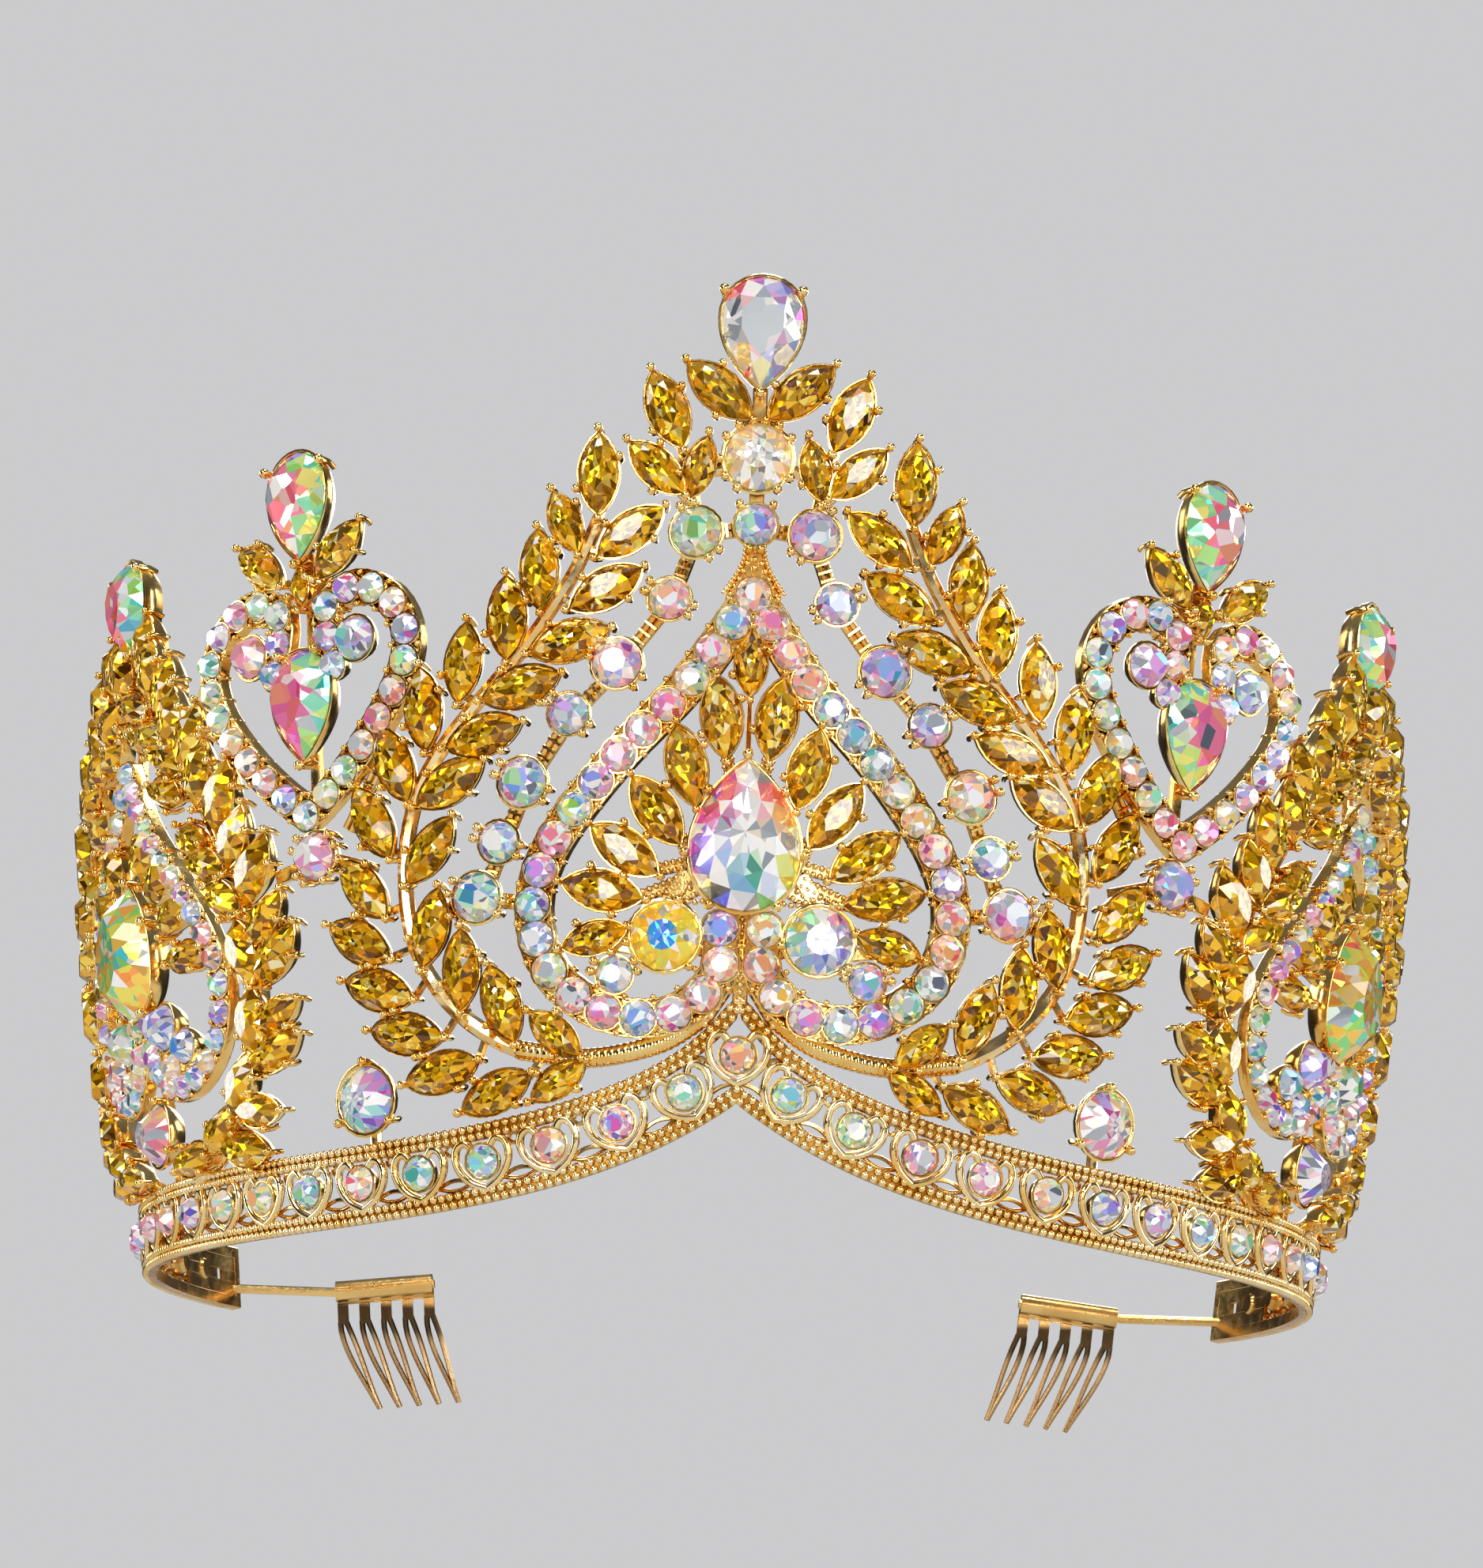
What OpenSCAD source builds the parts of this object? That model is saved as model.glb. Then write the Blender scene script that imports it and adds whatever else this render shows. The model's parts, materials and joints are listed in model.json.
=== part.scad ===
// Baroque crown: an open-backed gilt crown of cast, pierced panels set with clear and
// topaz-coloured stones, on a band of heart links, with two hair combs at its open ends.
// Millimetres, +Z up, the front towards -Y, the origin at the centre of the band's lower edge.
// The metal follows one gently flared wall. A place on that wall is [run, height]: the run is
// measured along the band from the front centre, and the height from the band's lower edge.

/* [Wall] */
// Radius of the wall at the band's lower edge
band_radius = 82; // [78:0.5:90]
// Outward lean of the wall, in mm for each mm of height
flare = 0.15; // [0.1:0.01:0.2]
// Extra outward swell of the side panels at their middle
side_swell = 3; // [0:0.5:4]
// Thickness of the cast metal
metal_thick = 1.6; // [1.4:0.1:2]

/* [Band] */
// Angle from the front centre to each end of the band
band_end_angle = 112; // [100:1:120]
// Height of the band between its two edges
band_height = 9.4; // [9:0.1:10]
// Rise of the lower edge at the front centre
peak_rise = 15.4; // [12:0.2:16]
// Run over which that rise falls away
peak_fall = 20; // [16:1:24]
// Width of the band's two rails
rail_w = 1.9; // [1.5:0.1:2.2]
// Distance between two heart links along the band
heart_pitch = 8.6; // [8.4:0.1:9]

/* [Stones] */
// Width of the large pear stones
large_pear_w = 13; // [12:0.5:13]
// Length of the large pear stones
large_pear_l = 18; // [16:0.5:18]
// Width of the small pear stones
small_pear_w = 10; // [9:0.5:10]
// Length of the small pear stones
small_pear_l = 14; // [12:0.5:14]
// Width of a leaf stone
leaf_w = 4.6; // [4:0.1:4.8]
// Length of a leaf stone
leaf_l = 9.6; // [8.5:0.1:10]
// Diameter of the large round stones
large_round_d = 8; // [7:0.5:8]
// Diameter of the round stones in the outline of the front panel
outline_round_d = 3.9; // [3.4:0.1:4]
// Gap between a stone and its seat
stone_gap = 0.12; // [0.1:0.01:0.2]

/* [Combs] */
// Length of each comb's spine
comb_w = 15; // [12:0.5:16]
// Length of each comb's teeth
tooth_l = 17; // [12:0.5:20]
// Diameter of the rods that carry the combs
rod_d = 1.4; // [1.2:0.1:1.6]

/* [Hidden] */

gold = "goldenrod";
crystal = "lavenderblush";
topaz = "orange";
steel = "tan";

LEFT = -1;
RIGHT = 1;
SIDES = [LEFT, RIGHT];

// The metal's inner and outer faces and the tops of the settings, measured out from the wall
inner_face = -metal_thick / 2;
outer_face = metal_thick / 2;
seat_top = outer_face + 0.8;
// Wires, stems and links are thinner than the rails that they run into
wire_low = inner_face + 0.25;
wire_high = outer_face - 0.25;
stone_foot = seat_top + stone_gap;
// A stone rises this part of its width over its foot
stone_rise = 0.55;
large_stone_rise = 0.36;
// A seat reaches this far past its stone all round
seat_rim = 0.35;

// Places on the wall
function angle_at(run) = run / band_radius * 180 / PI;
function ease(x) = let (t = min(1, max(0, x))) t * t * (3 - 2 * t);
side_from = 48;
side_full = 70;
swell_foot = 8;
swell_span = 82;
function swell(p) = side_swell * ease((abs(p.x) - side_from) / (side_full - side_from))
    * (1 - ease((abs(p.x) - 112) / 20))
    * sin(180 * min(1, max(0, (p.y - swell_foot) / swell_span)));
function wall_radius(p) = band_radius + flare * p.y + swell(p);
lean = atan(flare);
function out_dir(run) = let (a = angle_at(run))
    [sin(a) * cos(lean), -cos(a) * cos(lean), -sin(lean)];
function along_dir(run) = let (a = angle_at(run)) [cos(a), sin(a), 0];
function up_dir(run) = let (a = angle_at(run))
    [sin(a) * sin(lean), -cos(a) * sin(lean), cos(lean)];
function on_wall(p) = let (a = angle_at(p.x), r = wall_radius(p)) [r * sin(a), -r * cos(a), p.y];
function stretch(p) = wall_radius(p) / band_radius;

// A point beside a place p: x to its side and y ahead, turned by the angle a from upright
// towards the larger run, and h out from the wall
function beside(p, a, x, y, h) = on_wall(p) + out_dir(p.x) * h
    + along_dir(p.x) * (x * cos(a) + y * sin(a)) + up_dir(p.x) * (y * cos(a) - x * sin(a));

module wrap(points) {
    hull() polyhedron(points, [[for (i = [0:1:len(points) - 1]) i]]);
}

// A block whose outline, a list of [x, y], lies on the wall between two heights out from it
module block(p, a, outline, low, high) {
    wrap([for (h = [low, high]) for (q = outline) beside(p, a, q.x, q.y, h)]);
}

// Paths on the wall
function step_dir(p, q) = let (d = [(q.x - p.x) * stretch(p), q.y - p.y]) d / norm(d);
function path_dir(path, i) =
    let (a = step_dir(path[max(0, i - 1)], path[max(1, i)]),
         b = step_dir(path[min(i, len(path) - 2)], path[min(i + 1, len(path) - 1)]))
    (a + b) / norm(a + b);
function path_angle(path, i) = let (d = path_dir(path, i)) atan2(d.x, d.y);
function flip(path) = [for (p = path) [-p.x, p.y]];
function step_len(p, q) = norm([(q.x - p.x) * stretch((p + q) / 2), q.y - p.y]);
function run_lengths(path, i = 0, sum = 0, list = [0]) =
    i >= len(path) - 1 ? list
    : let (s = sum + step_len(path[i], path[i + 1])) run_lengths(path, i + 1, s, concat(list, [s]));
function at_length(path, lengths, s) =
    let (i = max([for (k = [0:1:len(path) - 2]) if (lengths[k] <= s) k]),
         t = (s - lengths[i]) / (lengths[i + 1] - lengths[i]))
    path[i] + (path[i + 1] - path[i]) * t;
// Places at even steps along a path, from its start to its end
function spaced(path, count) =
    let (lengths = run_lengths(path), step = lengths[len(path) - 1] / (count - 1))
    [for (k = [0:1:count - 1]) at_length(path, lengths, min(k * step, lengths[len(path) - 1] - 0.001))];
// A smooth curve through knots
function mix_knots(a, b, c, d, t) = 0.5 * (2 * b + (c - a) * t
    + (2 * a - 5 * b + 4 * c - d) * t * t + (3 * b - a - 3 * c + d) * t * t * t);
function smooth(knots, pieces) = let (last = len(knots) - 1) [
    for (i = [0:1:last - 1])
        for (k = [0:1:pieces - (i == last - 1 ? 0 : 1)])
            mix_knots(knots[max(0, i - 1)], knots[i], knots[i + 1], knots[min(last, i + 2)], k / pieces)
];

// A strip of metal of even width along a path
module strip(path, width, low = wire_low, high = wire_high) {
    last = len(path) - 1;
    corners = [[-width / 2, low], [width / 2, low], [width / 2, high], [-width / 2, high]];
    polyhedron(
        [for (i = [0:1:last]) for (c = corners) beside(path[i], path_angle(path, i), c.x, 0, c.y)],
        concat(
            [[3, 2, 1, 0], [for (k = [0:1:3]) 4 * last + k]],
            [for (i = [0:1:last - 1]) for (k = [0:1:3])
                [4 * i + (k + 1) % 4, 4 * i + 4 + (k + 1) % 4, 4 * i + 4 + k, 4 * i + k]]
        )
    );
}

// A cast piece drawn as flat faces on the wall. A corner is [run, height, low, high], and a face
// lists its corners counter-clockwise as seen from outside. Edges with one face get a side.
module cast_mesh(corners, faces, side = RIGHT) {
    n = len(corners);
    edges = [for (f = faces) for (k = [0:1:len(f) - 1]) [f[k], f[(k + 1) % len(f)]]];
    twin = search([for (e = edges) e.y * n + e.x], [for (e = edges) e.x * n + e.y]);
    rim = [for (i = [0:1:len(edges) - 1]) if (twin[i] == []) edges[i]];
    shell = concat(
        [for (f = faces) [for (k = [len(f) - 1:-1:0]) f[k]]],
        [for (f = faces) [for (k = f) k + n]],
        [for (e = rim) [e.x, e.y, e.y + n, e.x + n]]
    );
    polyhedron(
        [for (layer = [3, 2]) for (c = corners) on_wall([side * c.x, c.y]) + out_dir(side * c.x) * c[layer]],
        side == RIGHT ? shell : [for (f = shell) [for (k = [len(f) - 1:-1:0]) f[k]]]
    );
}
function with_heights(p, low, high) = [p.x, p.y, low, high];
// The place on the wall that lies x to the side of p and y ahead
function place_beside(p, a, x, y) =
    [p.x + (x * cos(a) + y * sin(a)) / stretch(p), p.y + y * cos(a) - x * sin(a)];

// Outlines of stones, with the tip or the top towards +y, and their tables
function every_other(list) = [for (i = [0:2:len(list) - 1]) list[i]];
function scaled(outline, k) = [for (q = outline) q * k];
function grown(outline, w, l, by) = [for (q = outline) [q.x * (1 + 2 * by / w), q.y * (1 + 2 * by / l)]];
function ring_outline(d, sides, turn = 0) =
    [for (i = [0:1:sides - 1]) d / 2 * [sin(360 * (i + turn) / sides), cos(360 * (i + turn) / sides)]];
function leaf_outline(w, l) = [
    [0, l / 2], [0.48 * w, 0.16 * l], [0.48 * w, -0.16 * l],
    [0, -l / 2], [-0.48 * w, -0.16 * l], [-0.48 * w, 0.16 * l]
];
function leaf_table(w, l) = [[0, 0.28 * l], [0.27 * w, 0], [0, -0.28 * l], [-0.27 * w, 0]];
function pear_outline(w, l) = let (c = (w - l) / 2) concat(
    [[0, l / 2], [0.26 * w, c + 0.72 * (l - w / 2)], [0.44 * w, c + 0.36 * (l - w / 2)]],
    [for (a = [90:30:270]) [w / 2 * sin(a), c + w / 2 * cos(a)]],
    [[-0.44 * w, c + 0.36 * (l - w / 2)], [-0.26 * w, c + 0.72 * (l - w / 2)]]
);

// Stones
module leaf_stone(p, a, w = leaf_w, l = leaf_l) {
    wrap(concat(
        [for (q = leaf_outline(w, l)) beside(p, a, q.x, q.y, stone_foot)],
        [for (q = leaf_table(w, l)) beside(p, a, q.x, q.y, stone_foot + stone_rise * w)]
    ));
}
module small_round(p, d) {
    wrap(concat(
        [for (q = ring_outline(d, 8)) beside(p, 0, q.x, q.y, stone_foot)],
        [for (q = ring_outline(d * 0.56, 4, 0.25)) beside(p, 0, q.x, q.y, stone_foot + stone_rise * d)]
    ));
}
module large_round(p, d) {
    wrap(concat(
        [for (q = ring_outline(d * 0.8, 6)) beside(p, 0, q.x, q.y, stone_foot)],
        [for (q = ring_outline(d, 12, 0.5)) beside(p, 0, q.x, q.y, stone_foot + 0.14 * d)],
        [for (q = ring_outline(d * 0.56, 6)) beside(p, 0, q.x, q.y, stone_foot + large_stone_rise * d)]
    ));
}
module pear_stone(p, a, w, l) {
    wrap(concat(
        [for (q = every_other(scaled(pear_outline(w, l), 0.85))) beside(p, a, q.x, q.y, stone_foot)],
        [for (q = pear_outline(w, l)) beside(p, a, q.x, q.y, stone_foot + 0.14 * w)],
        [for (q = every_other(scaled(pear_outline(w, l), 0.56))) beside(p, a, q.x, q.y, stone_foot + large_stone_rise * w)]
    ));
}

// Seats for stones, cast with the frame
// A leaf's seat is a wedge under the upper half of the leaf, whose stalk falls away from there
// and runs on to the nearest place of the path that carries the leaf
stalk_low = wire_low + 0.3;
stalk_high = wire_high - 0.3;
function leaf_foot(r) = [r[0] - sin(r[2]) * r[3] * leaf_l / 2 / stretch(r), r[1] - cos(r[2]) * r[3] * leaf_l / 2];
function nearest(p, path) = let (gaps = [for (q = path) step_len(p, q)], least = min(gaps))
    path[max([for (i = [0:1:len(path) - 1]) if (gaps[i] <= least) i])];
function edge_of(at, outline) = [for (q = outline) at + q * 0.9];
module leaf_seats(rows, side, path) {
    for (r = rows)
        let (p = [side * r[0], r[1]], w = 0.7 * r[3] * leaf_w, l = r[3] * leaf_l,
             root = nearest(leaf_foot(r), path))
            wrap(concat(
                [for (h = [stalk_low, seat_top]) for (q = [[0, l / 2 - 0.4], [w / 2, 0], [-w / 2, 0]])
                    beside(p, side * r[2], q.x, q.y, h)],
                [for (h = [stalk_low, stalk_high]) beside([side * root.x, root.y], 0, 0, 0, h)]
            ));
}
module round_seat(p, d, sides = 6) {
    block(p, 0, ring_outline(d + 2 * seat_rim, sides, 0.5), inner_face, seat_top);
}
module pear_seat(p, a, w, l) {
    block(p, a, grown(pear_outline(w, l), w, l, seat_rim), inner_face, seat_top);
}
// A stem with a leaf seat grown from the nearest free edge of the stem for each leaf
function pick_edges(feet, mids, used = []) =
    len(used) == len(feet) ? used
    : let (foot = feet[len(used)],
           gaps = [for (k = [0:1:len(mids) - 1]) len(search(k, used)) > 0 ? 1000 : step_len(foot, mids[k])],
           least = min(gaps))
      pick_edges(feet, mids, concat(used, [[for (k = [0:1:len(mids) - 1]) if (gaps[k] <= least) k][0]]));
module branch(path, width, rows, side, top = seat_top) {
    last = len(path) - 1;
    stem = [for (i = [0:1:last]) for (s = SIDES)
        with_heights(place_beside(path[i], path_angle(path, i), s * width / 2, 0), wire_low, wire_high)];
    edges = concat(
        [[0, 1], [2 * last + 1, 2 * last]],
        [for (i = [0:1:last - 1]) [2 * i + 1, 2 * i + 3]],
        [for (i = [0:1:last - 1]) [2 * i + 2, 2 * i]]
    );
    mids = [for (e = edges) let (a = stem[e.x], b = stem[e.y]) [(a.x + b.x) / 2, (a.y + b.y) / 2]];
    roots = pick_edges([for (r = rows) leaf_foot(r)], mids);
    leaves = [for (r = rows) let (w = r[3] * leaf_w, l = r[3] * leaf_l)
        for (q = [[0.36 * w, 0], [0, l / 2 - 0.5], [-0.36 * w, 0]])
            with_heights(place_beside([r[0], r[1]], r[2], q.x, q.y), stalk_low, top)];
    first = len(stem);
    cast_mesh(
        concat(stem, leaves),
        concat(
            [for (i = [0:1:last - 1]) [2 * i, 2 * i + 1, 2 * i + 3, 2 * i + 2]],
            [for (j = [0:1:len(rows) - 1]) let (e = edges[roots[j]], k = first + 3 * j)
                for (f = [[e.y, e.x, k], [e.y, k, k + 2], [k, k + 1, k + 2]]) f]
        ),
        side
    );
}
// Rounds joined by bars: each round is an octagon whose bars run between facing edges
module round_chain(rows, side) {
    path = [for (r = rows) [r[0], r[1]]];
    last = len(rows) - 1;
    cast_mesh(
        [for (i = [0:1:last]) for (q = ring_outline(rows[i][2] + 2 * seat_rim, 8, 0.5))
            with_heights(place_beside(path[i], path_angle(path, i), q.x, q.y), stalk_low, seat_top)],
        concat(
            [for (i = [0:1:last]) [for (k = [7:-1:0]) 8 * i + k]],
            [for (i = [0:1:last - 1]) [8 * i + 7, 8 * i, 8 * i + 11, 8 * i + 12]]
        ),
        side
    );
}
module leaf_stones(rows, side) {
    for (r = rows) leaf_stone([side * r[0], r[1]], side * r[2], r[3] * leaf_w, r[3] * leaf_l);
}

// Leaf rows of the right half: run and height of the middle, lean of the tip outward from
// upright, and size against a full leaf
//  run    height lean  size
LAUREL = [
    [16.3,  90.0,    0, 1.00],
    [19.8,  84.2,   22, 0.80],
    [12.9,  82.7,  -54, 0.96],
    [22.6,  78.6,    2, 0.96],
    [15.4,  75.9,  -62, 0.98],
    [26.2,  73.0,    0, 1.00],
    [19.2,  69.7,  -75, 1.00],
    [31.3,  68.0,   -8, 0.96],
    [24.6,  64.4,  -75, 1.00],
    [36.2,  62.8,    3, 1.00],
    [28.9,  58.9,  -76, 1.00],
    [40.0,  56.4,   22, 1.00],
    [33.0,  53.4,  -62, 1.00],
    [43.0,  49.6,   29, 1.00],
    [35.6,  45.5,  -40, 0.96],
    [44.4,  41.6,   42, 0.96],
    [35.6,  36.2,  -14, 0.94],
    [45.1,  35.2,   62, 1.00],
    [31.8,  31.0,    0, 0.94],
    [42.6,  29.2,   74, 1.00],
    [26.9,  26.7,   20, 0.94],
    [38.9,  23.7,   82, 1.00],
    [34.4,  18.9,  104, 0.98],
    [27.6,  16.3,  116, 0.94],
    [20.6,  23.0,   50, 0.78],
    [20.2,  17.5,  124, 0.76]
];
CENTRE_LEAVES = [
    [ 2.9,  60.4,    8, 0.98],
    [ 6.5,  54.6,   14, 0.98],
    [ 9.6,  49.2,   36, 0.98],
    [13.0,  44.6,   54, 0.98],
    [15.4,  39.8,   78, 0.98],
    [16.2,  34.2,  106, 0.80]
];
CREST_LEAVES = [
    [ 4.1, 100.0,   48, 1.00],
    [ 9.3,  97.6,   22, 1.00],
    [10.3,  90.5,   46, 0.90],
    [ 5.9,  90.6,  -14, 0.76]
];
HEART_LEAVES = [
    [46.9,  84.4,  -50, 0.92],
    [58.2,  84.4,   50, 0.92],
    [52.4,  80.6,    0, 0.50]
];
SIDE_CENTRE_LEAVES = [
    [ 4.6,  51.6,   14, 0.80],
    [ 8.6,  47.2,   36, 0.80],
    [11.8,  42.4,   56, 0.80],
    [13.4,  36.6,   82, 0.80]
];

// Stems
stem_w = 1.7;
LAUREL_STEM = [
    [16.5, 85], [18.9, 79], [21.9, 73.8], [25.2, 69], [28.9, 64.8], [33, 60.2], [36.4, 55.6],
    [38.6, 50.8], [39.6, 45.5], [39.6, 39.5], [38.5, 34.2], [35.7, 29], [31.3, 24.6],
    [25, 21.2], [17, 20.2], [9, 21.9], [4.2, 25]
];
SIDE_STEM = [
    [1, 78], [7.4, 69.5], [14.4, 59], [20.6, 48.5], [24.2, 38], [24.6, 27.5], [20.5, 17.5],
    [14, 11.5], [7, 9]
];
// Leaves along the side stem: length down the stem, hand (1 for the outer side), angle between
// leaf and stem, and size against a full leaf
SIDE_LEAVES = [
    [ 6,  1, 50, 0.90],
    [16,  1, 48, 0.94],
    [26,  1, 48, 0.96],
    [36,  1, 48, 0.96],
    [46,  1, 48, 0.96],
    [56,  1, 46, 0.96],
    [66,  1, 46, 0.96],
    [77,  1, 50, 0.94],
    [17, -1, 34, 0.84],
    [28, -1, 34, 0.84],
    [39, -1, 30, 0.80]
];
side_stem_lengths = run_lengths(SIDE_STEM);
function leaf_from(path, lengths, r) =
    let (p = at_length(path, lengths, r[0]), q = at_length(path, lengths, r[0] + 1),
         d = step_dir(p, q), leaning = atan2(d.x, d.y) - 180 + r[1] * r[2],
         c = place_beside(p, leaning, 0, 1.1 / sin(r[2]) + r[3] * leaf_l / 2))
    [c.x, c.y, leaning, r[3]];
SIDE_LAUREL = [for (r = SIDE_LEAVES) leaf_from(SIDE_STEM, side_stem_lengths, r)];

// Outline of the front panel, right half, from its top down and round to its curled end
OUTLINE_KNOTS = [
    [0, 75.2], [6.4, 64.6], [14, 55.6], [20.9, 45.8], [23.3, 37.9], [21.1, 30.1],
    [14.7, 25.4], [7.4, 25.3], [2.6, 29.8], [2.4, 35.4]
];
outline_count = 21;
outline_strip_w = 3.8;
outline_curve = smooth(OUTLINE_KNOTS, 2);
outline_places = spaced(outline_curve, outline_count);
neck_top = 81;
panel_round = [8.4, 34.4];
curl_round = [13.9, 29.9];
curl_round_d = 4.4;
centre_pear_at = [0, 46.4];
centre_top_leaf = [0, 66.9, 0, 0.78];

// Crest
crest_pear_at = [0, 107.1];
crest_round_at = [0, 91.8];

// Strings of rounds down the shoulders of the front panel: run, height and diameter
STRING_CENTRE = [0, 83.6, 5];
STRING = [
    [6.1, 82.6, 6],
    [8.7, 74.5, 5],
    [14.1, 66.8, 6],
    [19.3, 60.9, 5],
    [24.4, 52.9, 6],
    [27.2, 45.9, 5],
    [29.8, 39.4, 6]
];
string_bar_w = 1.8;

// Heart ornament
heart_run = 52.2;
HEART_KNOTS = [
    [0, 51.6], [4.2, 55.2], [8.6, 60.2], [12.6, 66.4], [14, 72], [12, 77], [7.5, 79.4], [3.2, 77.2],
    [4.2, 69.9]
];
heart_strip_w = 3;
heart_pear_at = [heart_run, 65.4];
heart_top_pear_at = [heart_run, 91];
HEART_EYE = [7.4, 72.8, 5.5];
heart_foot = [heart_run - 1.1, 46.4];
heart_foot_d = 6;

// Side panel, laid out about its own middle line
side_run = 86;
// The wall swells under the side leaves, so their seats stay a little lower
swell_room = 0.4;
side_scale = 0.85;
side_drop = -0.4;
side_strip_w = 3.2;
side_pear_at = [side_run, 39.2];
side_top_pear_at = [side_run, 86.4];
side_round = [6.5, 28.6];
side_round_d = 6;
side_foot = [side_run, 15.6];

// Foot rounds that stand on the band between the panels
foot_at = [44.8, 16.2];
stalk_w = 1.6;

function shifted(rows, by, side) = [for (r = rows) [by + side * r[0], r[1], side * r[2], r[3]]];
function small_panel(path, side) =
    [for (p = path) [side_run + side * p.x * side_scale, p.y * side_scale + side_drop]];
function about(path, run, side) = [for (p = path) [run + side * p.x, p.y]];

// Band: its edges, its middle line and its rails
function low_edge(run) = peak_rise * exp(-abs(run) / peak_fall);
function high_edge(run) = band_height + low_edge(run) + 3.2 * exp(-abs(run) / 4);
band_end = band_end_angle * PI / 180 * band_radius;
band_middle = band_height / 2;
heart_w = 8;
first_heart = 7.3;
band_line = [for (r = concat([0, 2, 4.5, 8, 12, 17, 23], [for (r = [30:8:band_end - 3]) r], [band_end]))
    [r, low_edge(r) + band_middle]];
band_lengths = run_lengths(band_line);
heart_count = floor((band_lengths[len(band_lengths) - 1] - first_heart - heart_w / 2) / heart_pitch);
heart_runs_right = [for (n = [0:1:heart_count])
    at_length(band_line, band_lengths, first_heart + n * heart_pitch).x];
heart_runs = concat([for (n = [heart_count:-1:0]) -heart_runs_right[n]], [0], heart_runs_right);
// Past this run the hearts are cast without gaps
open_to = 26;

module bar(p, a, from, to, width, low = wire_low, high = wire_high) {
    let (d = (to - from) / norm(to - from), n = [-d.y, d.x] * width / 2)
        block(p, a, [from + n, to + n, to - n, from - n], low, high);
}

// The band is one cast piece: two rails, and between them a row of hearts, point down. A
// heart's cell starts at column 0, the edge between two hearts; each column has its own corners.
heart_tip = 0.9;
heart_shoulder = 2.7;
heart_low = wire_low;
heart_high = wire_high;
function cell_edge(k) = k <= 0 ? -band_end
    : k >= len(heart_runs) ? band_end : (heart_runs[k - 1] + heart_runs[k]) / 2;
function rail_corner(run, height) = [run, height, inner_face, outer_face];
heart_room = 0.35;
function cell_corners(k) = let (b = cell_edge(k), r = heart_runs[min(k, len(heart_runs) - 1)])
    concat(
        [for (run = [b, r]) rail_corner(run, low_edge(run))],
        [for (run = [b, r - heart_tip, r + heart_tip]) rail_corner(run, low_edge(run) + rail_w)],
        [for (run = [b, r - heart_shoulder, r + heart_shoulder]) rail_corner(run, high_edge(run) - rail_w)],
        [for (run = [b, r]) rail_corner(run, high_edge(run))],
        [for (run = [max(r - heart_w / 2, b + heart_room), min(r + heart_w / 2, cell_edge(k + 1) - heart_room)])
            [run, low_edge(run) + band_middle + 0.6, heart_low, heart_high]]
    );
// The last eight corners of a cell serve an open heart: the middles of its foot and top, and a
// three-cornered gap in each lobe
LOBE_GAP = [[0.9, -0.2], [2.5, 0.7], [1.1, 2.0]];
function gap_corners(r) = concat(
    [rail_corner(r, low_edge(r) + rail_w), rail_corner(r, high_edge(r) - rail_w)],
    [for (s = [RIGHT, LEFT]) for (q = LOBE_GAP) let (run = r + s * q.x)
        [run, low_edge(run) + band_middle + q.y, heart_low, heart_high]]
);
cell_size = 20;
// Faces of a cell by corner. Corners from 20 on are those of the next cell.
RAIL_FACES = [[0, 1, 3, 2], [1, 20, 22, 4], [5, 6, 9, 8], [7, 25, 28, 9]];
CLOSED_HEART = [[1, 4, 3], [6, 7, 9], [3, 4, 11, 10], [10, 11, 7, 6]];
OPEN_HEART = [
    [1, 4, 12], [1, 12, 3], [6, 13, 9], [13, 7, 9],
    [12, 4, 14], [4, 11, 15], [4, 15, 14], [11, 7, 15], [7, 16, 15], [7, 13, 16], [13, 14, 16], [12, 14, 13],
    [17, 3, 12], [18, 10, 3], [17, 18, 3], [18, 6, 10], [18, 19, 6], [19, 13, 6], [19, 17, 13], [13, 17, 12]
];
module band() {
    cells = len(heart_runs);
    cast_mesh(
        [for (k = [0:1:cells]) for (c = concat(cell_corners(k), gap_corners(heart_runs[min(k, cells - 1)]))) c],
        [for (k = [0:1:cells - 1])
            for (f = concat(RAIL_FACES, abs(heart_runs[k]) < open_to ? OPEN_HEART : CLOSED_HEART))
                [for (i = f) i + cell_size * k]]
    );
    for (side = SIDES)
        strip([[side * (band_end - 1), 0.5], [side * (band_end - 1), band_height - 0.5]], 2);
}

module front_panel_half(side) {
    curve = side == RIGHT ? outline_curve : flip(outline_curve);
    strip(curve, outline_strip_w);
    leaf_seats(CENTRE_LEAVES, side, edge_of(centre_pear_at, pear_outline(large_pear_w, large_pear_l)));
    round_seat([side * panel_round.x, panel_round.y], large_round_d, 10);
    round_seat([side * curl_round.x, curl_round.y], curl_round_d);
    bar([side * curl_round.x, curl_round.y], 0, [0, 0], [0, -3], string_bar_w);
}

module string_half(side) {
    round_chain(STRING, side);
    strip([[0, STRING_CENTRE[1]], [side * STRING[0][0], STRING[0][1]]], string_bar_w);
    strip([[side * 22, 38.6], [side * STRING[6][0], STRING[6][1]], [side * 38, 37.5]], string_bar_w);
}

module crest_half(side) {
    leaf_seats(CREST_LEAVES, side, edge_of(crest_round_at, ring_outline(large_round_d, 12)));
    strip([[side * STRING[0][0], STRING[0][1]], [side * 6.9, 88.5]], string_bar_w);
    strip([[0, 91.5], [side * 7.5, 90]], string_bar_w);
    strip([[side * 8, 91], [side * 8.3, 94.5]], string_bar_w);
}

module laurel_half(side) {
    branch(spaced(LAUREL_STEM, 24), stem_w, LAUREL, side);
}

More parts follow.
